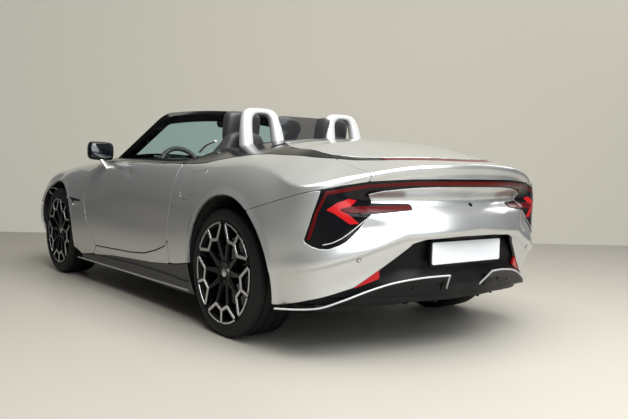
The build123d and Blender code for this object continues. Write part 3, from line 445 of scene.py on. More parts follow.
def near(points, u, v):
    """Distance to an open line of points."""
    best = np.full(u.shape, 1e18)
    for (ax, ay), (bx, by) in zip(points[:-1], points[1:]):
        dx, dy = bx - ax, by - ay
        t = np.clip(((u - ax) * dx + (v - ay) * dy) / (dx * dx + dy * dy), 0, 1)
        best = np.minimum(best, (u - ax - t * dx) ** 2 + (v - ay - t * dy) ** 2)
    return np.sqrt(best)


def least(*fields):
    out = fields[0]
    for f in fields[1:]:
        out = np.minimum(out, f)
    return out


def side_view(points, g):
    return within(points, g[..., 1], g[..., 2])


def plan_view(points, g):
    return within(points, g[..., 0], g[..., 1])


def rear_view(points, g):
    return within(points, g[..., 0], g[..., 2])


def strip_out(g):
    """Positive inboard of the strip's outer edge."""
    return (np.interp(g[..., 1], *STRIP_EDGE) - g[..., 0]) * 0.8


def strip_in(g):
    return (np.interp(g[..., 1], *STRIP_INNER) - g[..., 0]) * 0.8


def bar_top(g):
    """Height of the light bar's upper edge."""
    return np.interp(g[..., 0], *BAR_TOP)


def clear_of_arches(g):
    y, z = g[..., 1], g[..., 2]
    return least(*[np.hypot(y - cy, z - cz) - r for cy, cz, r in (FRONT_ARCH, REAR_ARCH)])


# --- mesh helpers
def only(obj):
    bpy.ops.object.select_all(action="DESELECT")
    obj.select_set(True)
    bpy.context.view_layer.objects.active = obj


def dressed(obj, finish, body, replaces=()):
    for f in (finish if isinstance(finish, (list, tuple)) else [finish]):
        obj.data.materials.append(FINISHES[f].material)
    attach(obj, body)
    if replaces:
        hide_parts(*replaces)
    return obj


def made(name, verts, faces):
    mesh = bpy.data.meshes.new(name)
    mesh.from_pydata([tuple(v) for v in verts], [], [tuple(f) for f in faces])
    obj = bpy.data.objects.new(name, mesh)
    bpy.context.scene.collection.objects.link(obj)
    only(obj)
    return obj


def modify(obj, kind, **settings):
    only(obj)
    m = obj.modifiers.new(kind.lower(), kind)
    for key, value in settings.items():
        setattr(m, key, value)
    bpy.ops.object.modifier_apply(modifier=m.name)


def edit(obj, *steps):
    """Runs edit-mode operators on all of the object."""
    only(obj)
    bpy.ops.object.mode_set(mode="EDIT")
    bpy.ops.mesh.select_all(action="SELECT")
    for operator, settings in steps:
        operator(**settings)
    bpy.ops.object.mode_set(mode="OBJECT")


def smooth(obj, angle=40.0):
    only(obj)
    bpy.ops.object.shade_smooth_by_angle(angle=math.radians(angle))


def joined(name, parts):
    bpy.ops.object.select_all(action="DESELECT")
    for p in parts:
        p.select_set(True)
    bpy.context.view_layer.objects.active = parts[0]
    bpy.ops.object.join()
    obj = bpy.context.view_layer.objects.active
    obj.name = name
    return obj


def copied(obj, name):
    """A copy with a mesh of its own."""
    twin = obj.copy()
    twin.data = obj.data.copy()
    twin.name = name
    bpy.context.scene.collection.objects.link(twin)
    return twin


def merged(name, new_name):
    """A copy of a CAD node with its doubled points merged."""
    twin = copied(bpy.data.objects[name], new_name)
    edit(twin, (bpy.ops.mesh.remove_doubles, {"threshold": DOUBLES}))
    twin.data.materials.clear()
    return twin


def refinished(name, finish):
    data = bpy.data.objects[name].data
    data.materials.clear()
    data.materials.append(FINISHES[finish].material)


def sided(obj, side):
    """Turned to the car's right side by mirroring where the side asks for it."""
    if side < 0:
        obj.data.transform(Matrix.Diagonal((-1, 1, 1, 1)))
        obj.data.flip_normals()


def clip(grid, field):
    """The part of the grid where the field is positive, with its edge on the field's zero line."""
    pts, f = grid.copy(), field.copy()
    best = np.full(f.shape, 0.32)
    new = pts.copy()
    for axis in (0, 1):
        for shift in (1, -1):
            other_f, other_p = np.roll(f, shift, axis), np.roll(pts, shift, axis)
            ok = (f * other_f) < 0
            edge = [slice(None)] * 2
            edge[axis] = 0 if shift == 1 else -1
            ok[tuple(edge)] = False
            a = np.where(ok, np.abs(f) / np.maximum(np.abs(f) + np.abs(other_f), 1e-12), 1.0)
            pick = a < best
            best = np.where(pick, a, best)
            new = np.where(pick[..., None], pts + (other_p - pts) * a[..., None], new)
    snapped = best < 0.32
    pts, f = new, np.where(snapped, 0.0, f)
    ids, verts, faces = {}, [], []

    def vertex(i, j):
        key = (i, j)
        if key not in ids:
            ids[key] = len(verts)
            verts.append(pts[i, j])
        return ids[key]

    def crossing(a, b):
        key = (a, b) if a < b else (b, a)
        if key not in ids:
            fa, fb = f[key[0]], f[key[1]]
            ids[key] = len(verts)
            verts.append(pts[key[0]] + (pts[key[1]] - pts[key[0]]) * (fa / (fa - fb)))
        return ids[key]

    hi = np.maximum(np.maximum(f[:-1, :-1], f[1:, :-1]), np.maximum(f[:-1, 1:], f[1:, 1:]))
    for i, j in np.argwhere(hi > 0):
        ring = [(i, j), (i + 1, j), (i + 1, j + 1), (i, j + 1)]
        out = []
        for k in range(4):
            a, b = ring[k], ring[(k + 1) % 4]
            if f[a] >= 0:
                out.append(vertex(*a))
            if f[a] * f[b] < 0:
                out.append(crossing(a, b))
        if len(out) >= 3:
            faces.append(out)
    return np.array(verts), faces


def window(y0, y1, z0, z1, stride):
    """A strided part of the form that holds everything between the given heights and lengths."""
    y, z = FORM[..., 1], FORM[..., 2]
    hit = (y >= y0 - 30) & (y <= y1 + 30) & (z >= z0 - 30) & (z <= z1 + 30)
    rows, cols = np.where(hit.any(1))[0], np.where(hit.any(0))[0]
    r0, c0 = rows[0] // stride * stride, cols[0] // stride * stride
    r1, c1 = min(rows[-1] + stride, len(FORM) - 1), min(cols[-1] + stride, FORM.shape[1] - 1)
    r = np.unique(np.append(np.arange(r0, r1 + 1, stride), r1 if r1 == len(FORM) - 1 else r0))
    c = np.unique(np.append(np.arange(c0, c1 + 1, stride), c1 if c1 == FORM.shape[1] - 1 else c0))
    return FORM[np.ix_(r, c)], NORMALS[np.ix_(r, c)]


def skin(name, inside, box, lift=0.0, wall=14.0, stride=3, sides=(1,), edge=1.6, push=None):
    """A piece of the body's skin: where inside(grid) is positive, in millimetres, with a wall and a round edge."""
    grid, normal = window(*box, stride)
    field = inside(grid)
    shape = grid + normal * (push(grid)[..., None] if push else lift)
    verts, faces = clip(shape, field)
    verts[np.abs(verts[:, 0]) < 1.0, 0] = 0.0
    all_v, all_f = [], []
    for side in sides:
        v = verts * (side, 1, 1) / 1000
        base = sum(len(a) for a in all_v)
        all_v.append(v)
        all_f += [[base + k for k in (f if side > 0 else f[::-1])] for f in faces]
    obj = made(name, np.concatenate(all_v), all_f)
    edit(obj, (bpy.ops.mesh.remove_doubles, {"threshold": 0.0004}),
        (bpy.ops.mesh.normals_make_consistent, {"inside": False}))
    outward = sum(p.normal.dot(Vector((p.center.x, 0, 0.4 * (p.center.z - 0.4)))) * p.area for p in obj.data.polygons)
    if outward < 0:
        obj.data.flip_normals()
    if wall:
        modify(obj, "SOLIDIFY", thickness=wall / 1000, offset=-1.0, use_even_offset=False)
        if edge:
            modify(obj, "BEVEL", width=edge / 1000, segments=2, limit_method="ANGLE", angle_limit=math.radians(55),
                   use_clamp_overlap=False)
    smooth(obj, 60)
    modify(obj, "WEIGHTED_NORMAL", weight=60, keep_sharp=False)
    return obj


def pair_of(name, inside, box, finish, body, slot, replaces="", **options):
    for word, side in SIDES:
        obj = skin(f"{name}_{word}", inside, box, sides=(side,), **options)
        nodes = [f"{replaces}_{word}"] if replaces else []
        dressed(obj, finish, body.format(word), nodes)


def prism(name, outline, low, high, axis, bevel=0.0, segments=2):
    """An outline drawn square to an axis and extruded along it, its edges rounded; millimetres."""
    place = {"X": lambda u, v, w: (w, u, v), "Y": lambda u, v, w: (u, w, v), "Z": lambda u, v, w: (u, v, w)}[axis]
    verts = [np.array(place(u, v, low)) / 1000 for u, v in outline]
    obj = made(name, verts, [range(len(verts))])
    move = np.array(place(0, 0, high - low)) / 1000
    edit(obj, (bpy.ops.mesh.extrude_region_move, {"TRANSFORM_OT_translate": {"value": tuple(move)}}),
         (bpy.ops.mesh.select_all, {"action": "SELECT"}), (bpy.ops.mesh.normals_make_consistent, {"inside": False}))
    if bevel:
        modify(obj, "BEVEL", width=bevel / 1000, segments=segments, limit_method="ANGLE",
               angle_limit=math.radians(BEND))
    smooth(obj)
    return obj


def rounded(a, b, r):
    """The outline of a rectangle of half sizes a and b with corners of radius r."""
    out = []
    for sx, sy, start in ((1, -1, -90), (1, 1, 0), (-1, 1, 90), (-1, -1, 180)):
        for k in range(7):
            t = math.radians(start + 15 * k)
            out.append((sx * (a - r) + r * math.cos(t), sy * (b - r) + r * math.sin(t)))
    return out


def ribbon(points, width):
    """The outline of a band of even width along a line, mitred at its corners."""
    p = np.asarray(points, float)
    d = np.diff(p, axis=0)
    d /= np.linalg.norm(d, axis=1)[:, None]
    n = np.column_stack([-d[:, 1], d[:, 0]])
    left, right = [], []
    for i in range(len(p)):
        a, b = n[max(i - 1, 0)], n[min(i, len(n) - 1)]
        k = (a + b) / max(1 + a.dot(b), 0.25)
        left.append(p[i] + k * width / 2)
        right.append(p[i] - k * width / 2)
    return left + right[::-1]


def turned(name, profile, steps=72, axis="X"):
    """A (radius, place along the axis) outline spun round the axis by the spin tool; millimetres."""
    verts = [(w / 1000, 0, r / 1000) if axis == "X" else (0, w / 1000, r / 1000) for r, w in profile]
    mesh = bpy.data.meshes.new(name)
    mesh.from_pydata(verts, [(i, i + 1) for i in range(len(verts) - 1)], [])
    obj = bpy.data.objects.new(name, mesh)
    bpy.context.scene.collection.objects.link(obj)
    direction = (1, 0, 0) if axis == "X" else (0, 1, 0)
    edit(obj, (bpy.ops.mesh.spin, {"steps": steps, "angle": 2 * math.pi, "center": (0, 0, 0), "axis": direction}),
         (bpy.ops.mesh.select_all, {"action": "SELECT"}), (bpy.ops.mesh.remove_doubles, {"threshold": DOUBLES}),
         (bpy.ops.mesh.normals_make_consistent, {"inside": False}))
    smooth(obj, 35)
    return obj


def tube(name, points, radius, sides=10, flat=1.0):
    """A round bar along a line of points, or a flattened one; millimetres."""
    p = np.asarray(points, float)
    d = np.gradient(p, axis=0)
    d /= np.linalg.norm(d, axis=1)[:, None]
    up = np.array([0.0, 0.0, 1.0])
    verts, faces = [], []
    for q, t in zip(p, d):
        u = np.cross(t, up)
        u /= np.linalg.norm(u)
        v = np.cross(u, t)
        for k in range(sides):
            a = 2 * math.pi * k / sides
            verts.append((q + (u * math.cos(a) + v * math.sin(a) * flat) * radius) / 1000)
    for i in range(len(p) - 1):
        for k in range(sides):
            a, b = i * sides + k, i * sides + (k + 1) % sides
            faces.append((a, b, b + sides, a + sides))
    faces += [tuple(range(sides))[::-1], tuple(range((len(p) - 1) * sides, len(p) * sides))]
    obj = made(name, verts, faces)
    edit(obj, (bpy.ops.mesh.normals_make_consistent, {"inside": False}))
    smooth(obj, 50)
    return obj


def fair(points, count):
    """A line of points made finer on smooth curves."""
    p = np.asarray(points, float)
    run = np.concatenate([[0], np.cumsum(np.linalg.norm(np.diff(p, axis=0), axis=1))])
    return monotone(run, p, np.linspace(0, run[-1], count))


def cushion(name, low, high, crown):
    """A soft block: a cube cut up, its sides pushed to a crowned round form; metres."""
    low, high = np.array(low), np.array(high)
    bpy.ops.object.select_all(action="DESELECT")
    bpy.ops.mesh.primitive_cube_add(size=2.0, location=(0, 0, 0))
    obj = bpy.context.active_object
    obj.name = name
    edit(obj, (bpy.ops.mesh.subdivide, {"number_cuts": 9}))
    size, mid = (high - low) / 2, (high + low) / 2
    for v in obj.data.vertices:
        c = np.array(v.co)
        r = np.abs(c)
        for k in range(3):
            o = [r[(k + 1) % 3], r[(k + 2) % 3]]
            c[k] *= 1 - crown * (o[0] ** 4 + o[1] ** 4) / 2
        v.co = mid + c * size
    modify(obj, "SUBSURF", levels=1, render_levels=1)
    smooth(obj, 80)
    return obj


# --- operators: one for each piece or group of like pieces
class Dress(bpy.types.Operator):
    bl_options = {"REGISTER", "UNDO"}


class SidePanels(Dress):
    """Fenders, doors, quarters, charge flap and sills"""
    bl_idname = "roadster.side_panels"
    bl_label = "Side panels"

    def execute(self, context):
        gap = context.scene.roadster_body.gap * 1000

        def fender(g):
            return least(side_view(FENDER_LINE, g), clear_of_arches(g), -side_view(DOOR_LINE, g) - gap,
                         -plan_view(BONNET_LINE, g) - gap, -plan_view(COWL_LINE, g),
                         -rear_view(HEADLAMP_LINE, g) - LAMP_GAP,
                         g[..., 0] - 300)

        def door(g):
            return least(side_view(DOOR_LINE, g), -strip_out(g))

        def door_strip(g):
            return least(side_view(DOOR_LINE, g), strip_out(g) - 1, g[..., 0] - 778)

        def quarter(g):
            x, y, z = g[..., 0], g[..., 1], g[..., 2]
            tail = least(rear_view(TAIL_LINE, g), y - SEAM_Y)
            lamp = least(rear_view(LAMP_LINE, g), y - LAMP_FRONT)
            deck = np.maximum(least(strip_out(g), y - 600), least(LID_EDGE + 1 - x, y - 1256, z - bar_top(g) + 6))
            return least(side_view(QUARTER_LINE, g), -side_view(DOOR_LINE, g) - gap, clear_of_arches(g), -tail - 2,
                         -lamp - LAMP_GAP, -deck, -side_view(FLAP_LINE, g) - 1.2)

        def flap(g):
            return least(side_view(FLAP_LINE, g) - 1.2, g[..., 0] - 860)

        def sill(g):
            return least(side_view(SILL_LINE, g), clear_of_arches(g), g[..., 2] - np.interp(g[..., 1], *PAINT_EDGE),
                         g[..., 0] - 700)

        def skirt(g):
            return least(side_view(SILL_LINE, g), clear_of_arches(g),
                np.interp(g[..., 1], *PAINT_EDGE) - g[..., 2] - 1,
                         g[..., 0] - 700)

        for name, inside, box, finish, body, slot, nodes, form in (
            ("fender_skin", fender, (-2150, -380, 180, 1000), "paint", "body", "silver_paint", "fender",
            {"wall": PANEL_WALL}),
            ("door_skin", door, (-800, 720, 280, 1000), "paint", "door_{}", "silver_paint", "", {"wall": PANEL_WALL}),
            ("door_strip", door_strip, (-800, 720, 850, 1050), "gloss_black", "door_{}", "black_trim", "",
            {"lift": 1.5}),
            ("quarter_skin", quarter, (600, 2300, 300, 1120), "paint", "body", "silver_paint", "quarter",
            {"wall": PANEL_WALL}),
            ("charge_flap", flap, (760, 1100, 700, 930), "paint", "body", "silver_paint", "",
            {"wall": 6.0, "edge": 0.8}),
            ("sill_skin", sill, (-900, 1000, 180, 480), "paint", "body", "silver_paint", "sill", {}),
            ("sill_skirt", skirt, (-900, 1000, 120, 400), "gloss_black", "body", "black_trim", "",
            {"lift": 1.0, "edge": 0.8}),
        ):
            pair_of(name, inside, box, finish, body, slot, nodes, **form)
        vent = [(-1088, 646), (-850, 634), (-846, 622), (-1000, 618), (-975, 592), (-1010, 598)]
        pair_of("vent", lambda g: least(side_view(vent, g), g[..., 0] - 800), VENT_BOX, "moulded_black", "body",
                "black_trim", lift=1.0, wall=4.0, stride=1, edge=0.6)
        edge = [(-1106, 640), (-1040, 622), (-984, 590)]
        pair_of("vent_edge", lambda g: least(5 - near(edge, g[..., 1], g[..., 2]), g[..., 0] - 800), VENT_BOX,
                "bright", "body", "hoop_silver", lift=7.0, wall=8.0, stride=1, edge=0.6)
        for word, side in SIDES:
            place = self.on_flank(0, 858)
            catch = turned("door_catch_" + word, [(0, 3), (12, 2.6), (16, 1), (17, -4)], 40)
            catch.data.transform(Matrix.Translation(Vector((side * place, 0, 858)) / 1000) @ Matrix.Rotation(
                0 if side > 0 else math.pi, 4, "Z") @ Matrix.Diagonal((1, 1.9, 1, 1)))
            dressed(catch, "bright", "door_" + word)
            line = fair([(938, -835, 194), (942, -400, 199), (944, -35, 202), (946, 579, 206), (946, 962, 208)], 30)
            strip = tube("sill_strip_" + word, line * (side, 1, 1), 7, 12, 0.7)
            dressed(strip, "bright", "body")
        return {"FINISHED"}

    def on_flank(self, y, z):
        k = np.argmin((FORM[..., 1] - y) ** 2 + (FORM[..., 2] - z) ** 2)
        return FORM.reshape(-1, 3)[k, 0]


class DoorLinings(Dress):
    """The inner side of each door"""
    bl_idname = "roadster.door_linings"
    bl_label = "Door linings"

    def execute(self, context):
        for word, _ in SIDES:
            lining = merged("door_" + word, "door_lining_" + word)
            for v in lining.data.vertices:
                if abs(v.co.x) > 0.8:
                    v.co.x = math.copysign(0.8 + (abs(v.co.x) - 0.8) * 0.86, v.co.x)
            dressed(lining, "soft_trim", "door_" + word, ["door_" + word])
        return {"FINISHED"}


class FrontEnd(Dress):
    """Bonnet, front bumper, grille and headlamps"""
    bl_idname = "roadster.front_end"
    bl_label = "Front end"

    def execute(self, context):
        gap = context.scene.roadster_body.gap * 1000

        def bonnet(g):
            return least(plan_view(BONNET_LINE, g), g[..., 2] - 560)

        def nose(g):
            x, y = g[..., 0], g[..., 1]
            return least(-1500 - y, clear_of_arches(g), -plan_view(BONNET_LINE, g) - gap,
                -rear_view(HEADLAMP_LINE, g) - LAMP_GAP,
                         np.maximum(-side_view(FENDER_LINE, g) - 4, 300 - x), -rear_view(INTAKE_LINE, g) - 1)

        def lamp(g):
            return least(rear_view(HEADLAMP_LINE, g), -1700 - g[..., 1])

        def intake(g):
            return least(rear_view(INTAKE_LINE, g), -1900 - g[..., 1])

        obj = skin("bonnet_skin", bonnet, (-2100, -720, 600, 1020), sides=(1, -1), wall=12.0)
        dressed(obj, "paint", "bonnet", ["bonnet"])
        obj = skin("nose_skin", nose, (-2300, -1480, 150, 900), sides=(1, -1), wall=PANEL_WALL)
        dressed(obj, "paint", "body", ["front_bumper"])
        obj = skin("intake_mesh", intake, (-2300, -1850, 200, 460), sides=(1, -1), lift=-30.0, wall=6.0, edge=0)
        dressed(obj, "moulded_black", "body", ["front_grille"])
        for k in range(5):
            z = 252 + 36 * k
            half = 430 + 60 * min(1, k / 2) - 40 * max(0, k - 3)
            xs = np.linspace(-half, half, 41)
            line = [(x, self.nose_y(abs(x), z) + 14, z) for x in xs]
            dressed(tube(f"grille_bar_{k}", line, 5, 8, 1.6), "gloss_black", "body")
        for word, side in SIDES:
            obj = skin("headlamp_house_" + word, lamp, LAMP_HOLE, sides=(side,), stride=1, lift=-16.0, wall=8.0)
            dressed(obj, "gloss_black", "body")
            obj = skin("headlamp_lens_" + word, lamp, LAMP_HOLE, sides=(side,), stride=1, lift=0.0, wall=2.0,
                       edge=0)
            dressed(obj, "lens", "body", ["headlamps"] if side > 0 else [])
            light = [(500, 622), (640, 640), (800, 672)]
            obj = skin("headlamp_light_" + word, lambda g: least(5 - near(light, g[..., 0], g[..., 2]),
                -1700 - g[..., 1]),
                       LAMP_HOLE, sides=(side,), stride=1, lift=-8.0, wall=4.0, edge=0)
            dressed(obj, "white_lamp", "body")
        return {"FINISHED"}

    def nose_y(self, x, z):
        """How far forward the nose reaches at a place of its front view."""
        part = FORM[:int(len(FORM) * 0.28)].reshape(-1, 3)
        k = np.argmin((part[:, 0] - x) ** 2 + (part[:, 2] - z) ** 2)
        return part[k, 1]


class Tail(Dress):
    """Rear bumper, boot lid, tonneau cover and deck trim"""
    bl_idname = "roadster.tail"
    bl_label = "Tail and deck"

    def execute(self, context):
        gap = context.scene.roadster_body.gap * 1000

        def bumper(g):
            y = g[..., 1]
            tail = least(rear_view(TAIL_LINE, g), y - SEAM_Y)
            lamp = least(rear_view(LAMP_LINE, g), y - LAMP_FRONT)
            low = least(rear_view(DIFFUSER_LINE, g), y - DIFFUSER_FRONT)
            return least(np.maximum(side_view(REAR_LOWER, g), tail), clear_of_arches(g), -lamp - LAMP_GAP, -low - 1)

        def on_lid(g):
            x, y, z = g[..., 0], g[..., 1], g[..., 2]
            return least(LID_EDGE - x, y - LID_FRONT, z - bar_top(g) - 3)

        def lid(g):
            return least(on_lid(g), strip_in(g))

        def lid_band(g):
            return least(on_lid(g), -strip_in(g) - 1, strip_out(g) - 1)

        def ledge(g):
            return least(on_lid(g), -strip_out(g))

        def stop_light(g):
            return least(on_lid(g), -strip_in(g) - 9, strip_out(g) - 9, 420 - g[..., 0])

        def cover(g):
            return least(plan_view(TONNEAU_LINE, g), g[..., 2] - 900, strip_in(g), g[..., 1] - PALE_FRONT)

        def cover_front(g):
            return least(plan_view(TONNEAU_LINE, g), g[..., 2] - 900,
                np.maximum(-strip_in(g), PALE_FRONT - g[..., 1]) - 1)

        def trim(g):
            x, y, z = g[..., 0], g[..., 1], g[..., 2]
            beside = np.maximum(x - LID_EDGE - gap, 1256 - y)
            cockpit = least(752 - x, 735 - y)
            return least(strip_out(g) - 1, y - 700, z - 830, -plan_view(TONNEAU_LINE, g) - 4, beside,
                         -cockpit, -side_view(DOOR_LINE, g) - gap)

        low, lid_box, deck_box = (1300, 2300, 180, 900), (1240, 2300, 850, 1130), (720, 1270, 950, 1130)
        band_form = {"lift": -4.0, "wall": 8.0, "edge": 0, "stride": 1}
        light_form = {"lift": -2.5, "wall": 4.0, "edge": 0, "stride": 1}
        for name, inside, box, finish, body, slot, nodes, form in (
            ("rear_skin", bumper, low, "paint", "body", "silver_paint", ["rear_bumper"],
            {"wall": PANEL_WALL, "stride": 2}),
            ("boot_lid_skin", lid, lid_box, "paint", "boot_lid", "silver_paint", ["boot_lid"],
            {"wall": 16.0, "stride": 2}),
            ("boot_lid_ledge", ledge, lid_box, "paint", "boot_lid", "silver_paint", [], {"wall": 16.0, "stride": 2}),
            ("boot_lid_band", lid_band, lid_box, "gloss_black", "boot_lid", "black_trim", [], band_form),
            ("stop_light", stop_light, lid_box, "dark_red", "boot_lid", "lamp_red", [], light_form),
            ("tonneau_skin", cover, deck_box, "paint", "body", "silver_paint", ["tonneau_cover"], {"wall": 16.0}),
            ("tonneau_front", cover_front, deck_box, "gloss_black", "body", "black_trim", [], {"wall": 16.0}),
        ):
            dressed(skin(name, inside, box, sides=(1, -1), **form), finish, body, nodes)
        for word, side in SIDES:
            obj = skin("deck_strip_" + word, trim, (690, 2260, 830, 1120), sides=(side,), lift=1.0)
            dressed(obj, "gloss_black", "body", ["deck_trim"] if side > 0 else [])
        return {"FINISHED"}


class TailLamps(Dress):
    """The lamp and light bar across the tail, with the arrow lights"""
    bl_idname = "roadster.tail_lamps"
    bl_label = "Tail lamps"

    def execute(self, context):
        box = (1880, 2300, 520, 900)

        def band(line, half):
            return lambda g: least(half - near(line, g[..., 0], g[..., 2]), g[..., 1] - LAMP_FRONT,
                rear_view(LAMP_LINE, g) + 60)

        def inside(outline):
            return lambda g: least(rear_view(outline, g), g[..., 1] - LAMP_FRONT)

        obj = skin("lamp_base", inside(LAMP_LINE), box, sides=(1, -1), stride=1, lift=-3.0, wall=10.0, edge=1.2)
        dressed(obj, "gloss_black", "body", ["tail_lamps"])
        glow = [(-10, 871), (129, 871), (393, 865), (603, 849), (796, 816), (838, 714), (862, 588), (851, 588),
            (826, 714),
                (790, 800), (597, 833), (388, 847), (122, 848), (-10, 848)]
        obj = skin("light_bar", inside(glow), box, sides=(1, -1), stride=1, lift=-1.0, wall=3.0, edge=0.6)
        dressed(obj, "dark_red", "body")
        foot = [(806, 565), (769, 575), (729, 596), (655, 649), (607, 686), (584, 704)]
        obj = skin("lamp_edge", band(foot, 2.2), box, sides=(1, -1), stride=1, lift=0.0, wall=3.0, edge=0)
        dressed(obj, "beads", "body")
        for word, side in SIDES:
            head = [(795, 729), (748, 762), (690, 782), (641, 774), (688, 743), (736, 730), (697, 709), (643, 664),
                (692, 663),
                    (761, 712)]
            case = [(640, 750), (549, 761), (371, 758), (364, 749), (373, 729), (577, 709), (640, 703)]
            shaft = [(735, 736), (688, 745), (557, 745), (386, 749), (372, 744), (376, 733), (386, 729), (574, 717),
                (692, 714),
                     (727, 724)]
            for name, line, finish, slot, form in (
                ("arrow_head", head, "red", "lamp_red", {"lift": 0.5, "wall": 3.0, "edge": 0.8}),
                ("arrow_case", case, "gloss_black", "black_trim", {"lift": 2.5, "wall": 10.0, "edge": 2.0}),
                ("arrow_shaft", shaft, "dark_red", "lamp_red", {"lift": 4.0, "wall": 3.0, "edge": 0.8}),
            ):
                obj = skin(f"{name}_{word}", inside(line), box, sides=(side,), stride=1, **form)
                dressed(obj, finish, "body")
        return {"FINISHED"}


class RearFittings(Dress):
    """Plate recess, plate, diffuser, reflectors, sensors and camera"""
    bl_idname = "roadster.rear_fittings"
    bl_label = "Rear fittings"

    def execute(self, context):
        def mouth(g):
            return least(rear_view(DIFFUSER_LINE, g) + 14, g[..., 1] - DIFFUSER_FRONT, g[..., 2] - 300)

        def under(g):
            return least(rear_view(DIFFUSER_LINE, g) + 10, g[..., 1] - 1700, 330 - g[..., 2])

        def sink(g):
            z, x = g[..., 2], g[..., 0]
            return -16 - 44 * ease(z, 340, 430) * (1 - ease(z, 572, 600)) * (1 - ease(x, 380, 600))

        obj = skin("plate_recess", mouth, (1640, 2300, 280, 640), sides=(1, -1), wall=6.0, edge=0, push=sink,
            stride=2)
        dressed(obj, "moulded_black", "body", ["rear_diffuser"])
        obj = skin("diffuser_skirt", under, (1640, 2300, 180, 360), sides=(1, -1), wall=6.0, edge=0, stride=2,
                   push=lambda g: -22 + 0 * g[..., 0])
        dressed(obj, "moulded_black", "body")
        holder = prism("plate_holder", rounded(268, 64, 12), 2166, 2184, "Y", 2.0)
        holder.data.transform(Matrix.Translation((0, 0, PLATE_Z / 1000)))
        dressed(holder, "moulded_black", "body")
        plate = prism("number_plate", rounded(260, 55.5, 10), 2184, 2190, "Y", 0.8)
        plate.data.transform(Matrix.Translation((0, 0, PLATE_Z / 1000)))
        dressed(plate, "plate", "body")
        lip = [(930, 1797, 244), (868, 1875, 246), (794, 1957, 256), (700, 2027, 294), (566, 2092, 347),
            (462, 2132, 376),
               (362, 2164, 391), (258, 2196, 400), (165, 2222, 403)]
        low = [(900, 1780, 225), (850, 1850, 224), (760, 1915, 228), (660, 1965, 234), (540, 2020, 246),
            (430, 2060, 254),
               (305, 2090, 262), (230, 2102, 266), (175, 2110, 270)]
        for word, side in SIDES:
            top, foot = fair(lip, 60), fair(low, 60)
            dressed(tube("diffuser_lip_" + word, top * (side, 1, 1), 4.8, 12, 1.0), "hoop", "body")
            leg = fair([(165, 2222, 403), (140, 2185, 352), (112, 2145, 300)], 12) * (side, 1, 1)
            dressed(tube("diffuser_leg_" + word, leg, 4.8, 12, 1.0), "hoop", "body")
            verts = list(top * (side, 1, 1) / 1000) + list((top * 0.35 + foot * 0.65 + (0, -26, 0)) * (side, 1,
                1) / 1000)
            verts += list(foot * (side, 1, 1) / 1000)
            n = len(top)
            faces = [(r * n + i, r * n + i + 1, (r + 1) * n + i + 1,
                (r + 1) * n + i) for r in range(2) for i in range(n - 1)]
            blade = made("diffuser_blade_" + word, verts, faces)
            modify(blade, "SOLIDIFY", thickness=0.006, offset=0.0)
            smooth(blade, 50)
            dressed(blade, "moulded_black", "body")
            for k, (x, y0, y1, z0, z1) in enumerate(((165, 2000, 2196, 240, 380), (330, 1990, 2150, 236, 376),
                    (480, 1970, 2100, 232, 352))):
                fin = [(y0 - 120, z0 + 30), (y1 - 60, z0 + 14), (y1, z1), (y1 - 60, z1), (y0 - 60, z1 - 40)]
                fin = prism(f"diffuser_fin_{k}_{word}", fin, side * x - 4, side * x + 4, "X", 2.0)
                dressed(fin, "moulded_black", "body")
            reflector = [(638, 355), (531, 441), (525, 438), (519, 398), (524, 393), (632, 351)]
            # the reflector takes the lamp red, whose faint emission makes it glow though it is no lamp: painted light
            obj = skin("reflector_" + word, lambda g: least(rear_view(reflector, g), g[..., 1] - LAMP_FRONT),
                (1880, 2300, 320, 470),
                       sides=(side,), stride=1, lift=-5.0, wall=12.0, edge=1.0)
            dressed(obj, "red", "body")
            y, n = self.on_tail(647, 493)
            self.button("sensor_ring_" + word, (side * 647, y, 493), (side * n[0], n[1], n[2]), 12.5, 2.5, "cast")
            self.button("sensor_" + word, (side * 647, y, 493), (side * n[0], n[1], n[2]), 9.5, 4.0, "paint")
        y, n = self.on_tail(0, 752)
        self.button("boot_camera", (0, y, 752), n, 13, 6, "gloss_black")
        return {"FINISHED"}

    def on_tail(self, x, z):
        start = int(len(FORM) * 0.7)
        part, normal = FORM[start:].reshape(-1, 3), NORMALS[start:].reshape(-1, 3)
        k = np.argmin((part[:, 0] - x) ** 2 + (part[:, 2] - z) ** 2 - 0.0001 * part[:, 1])
        return part[k, 1], normal[k]

    def button(self, name, place, normal, radius, rise, finish):
        obj = turned(name, [(0, rise), (radius * 0.6, rise * 0.96), (radius * 0.9, rise * 0.7), (radius, 0),
            (radius, -6)], 32)
        way = Vector((1, 0, 0)).rotation_difference(Vector(normal)).to_matrix().to_4x4()
        obj.data.transform(Matrix.Translation(Vector(place) / 1000) @ way)
        return dressed(obj, finish, "body")


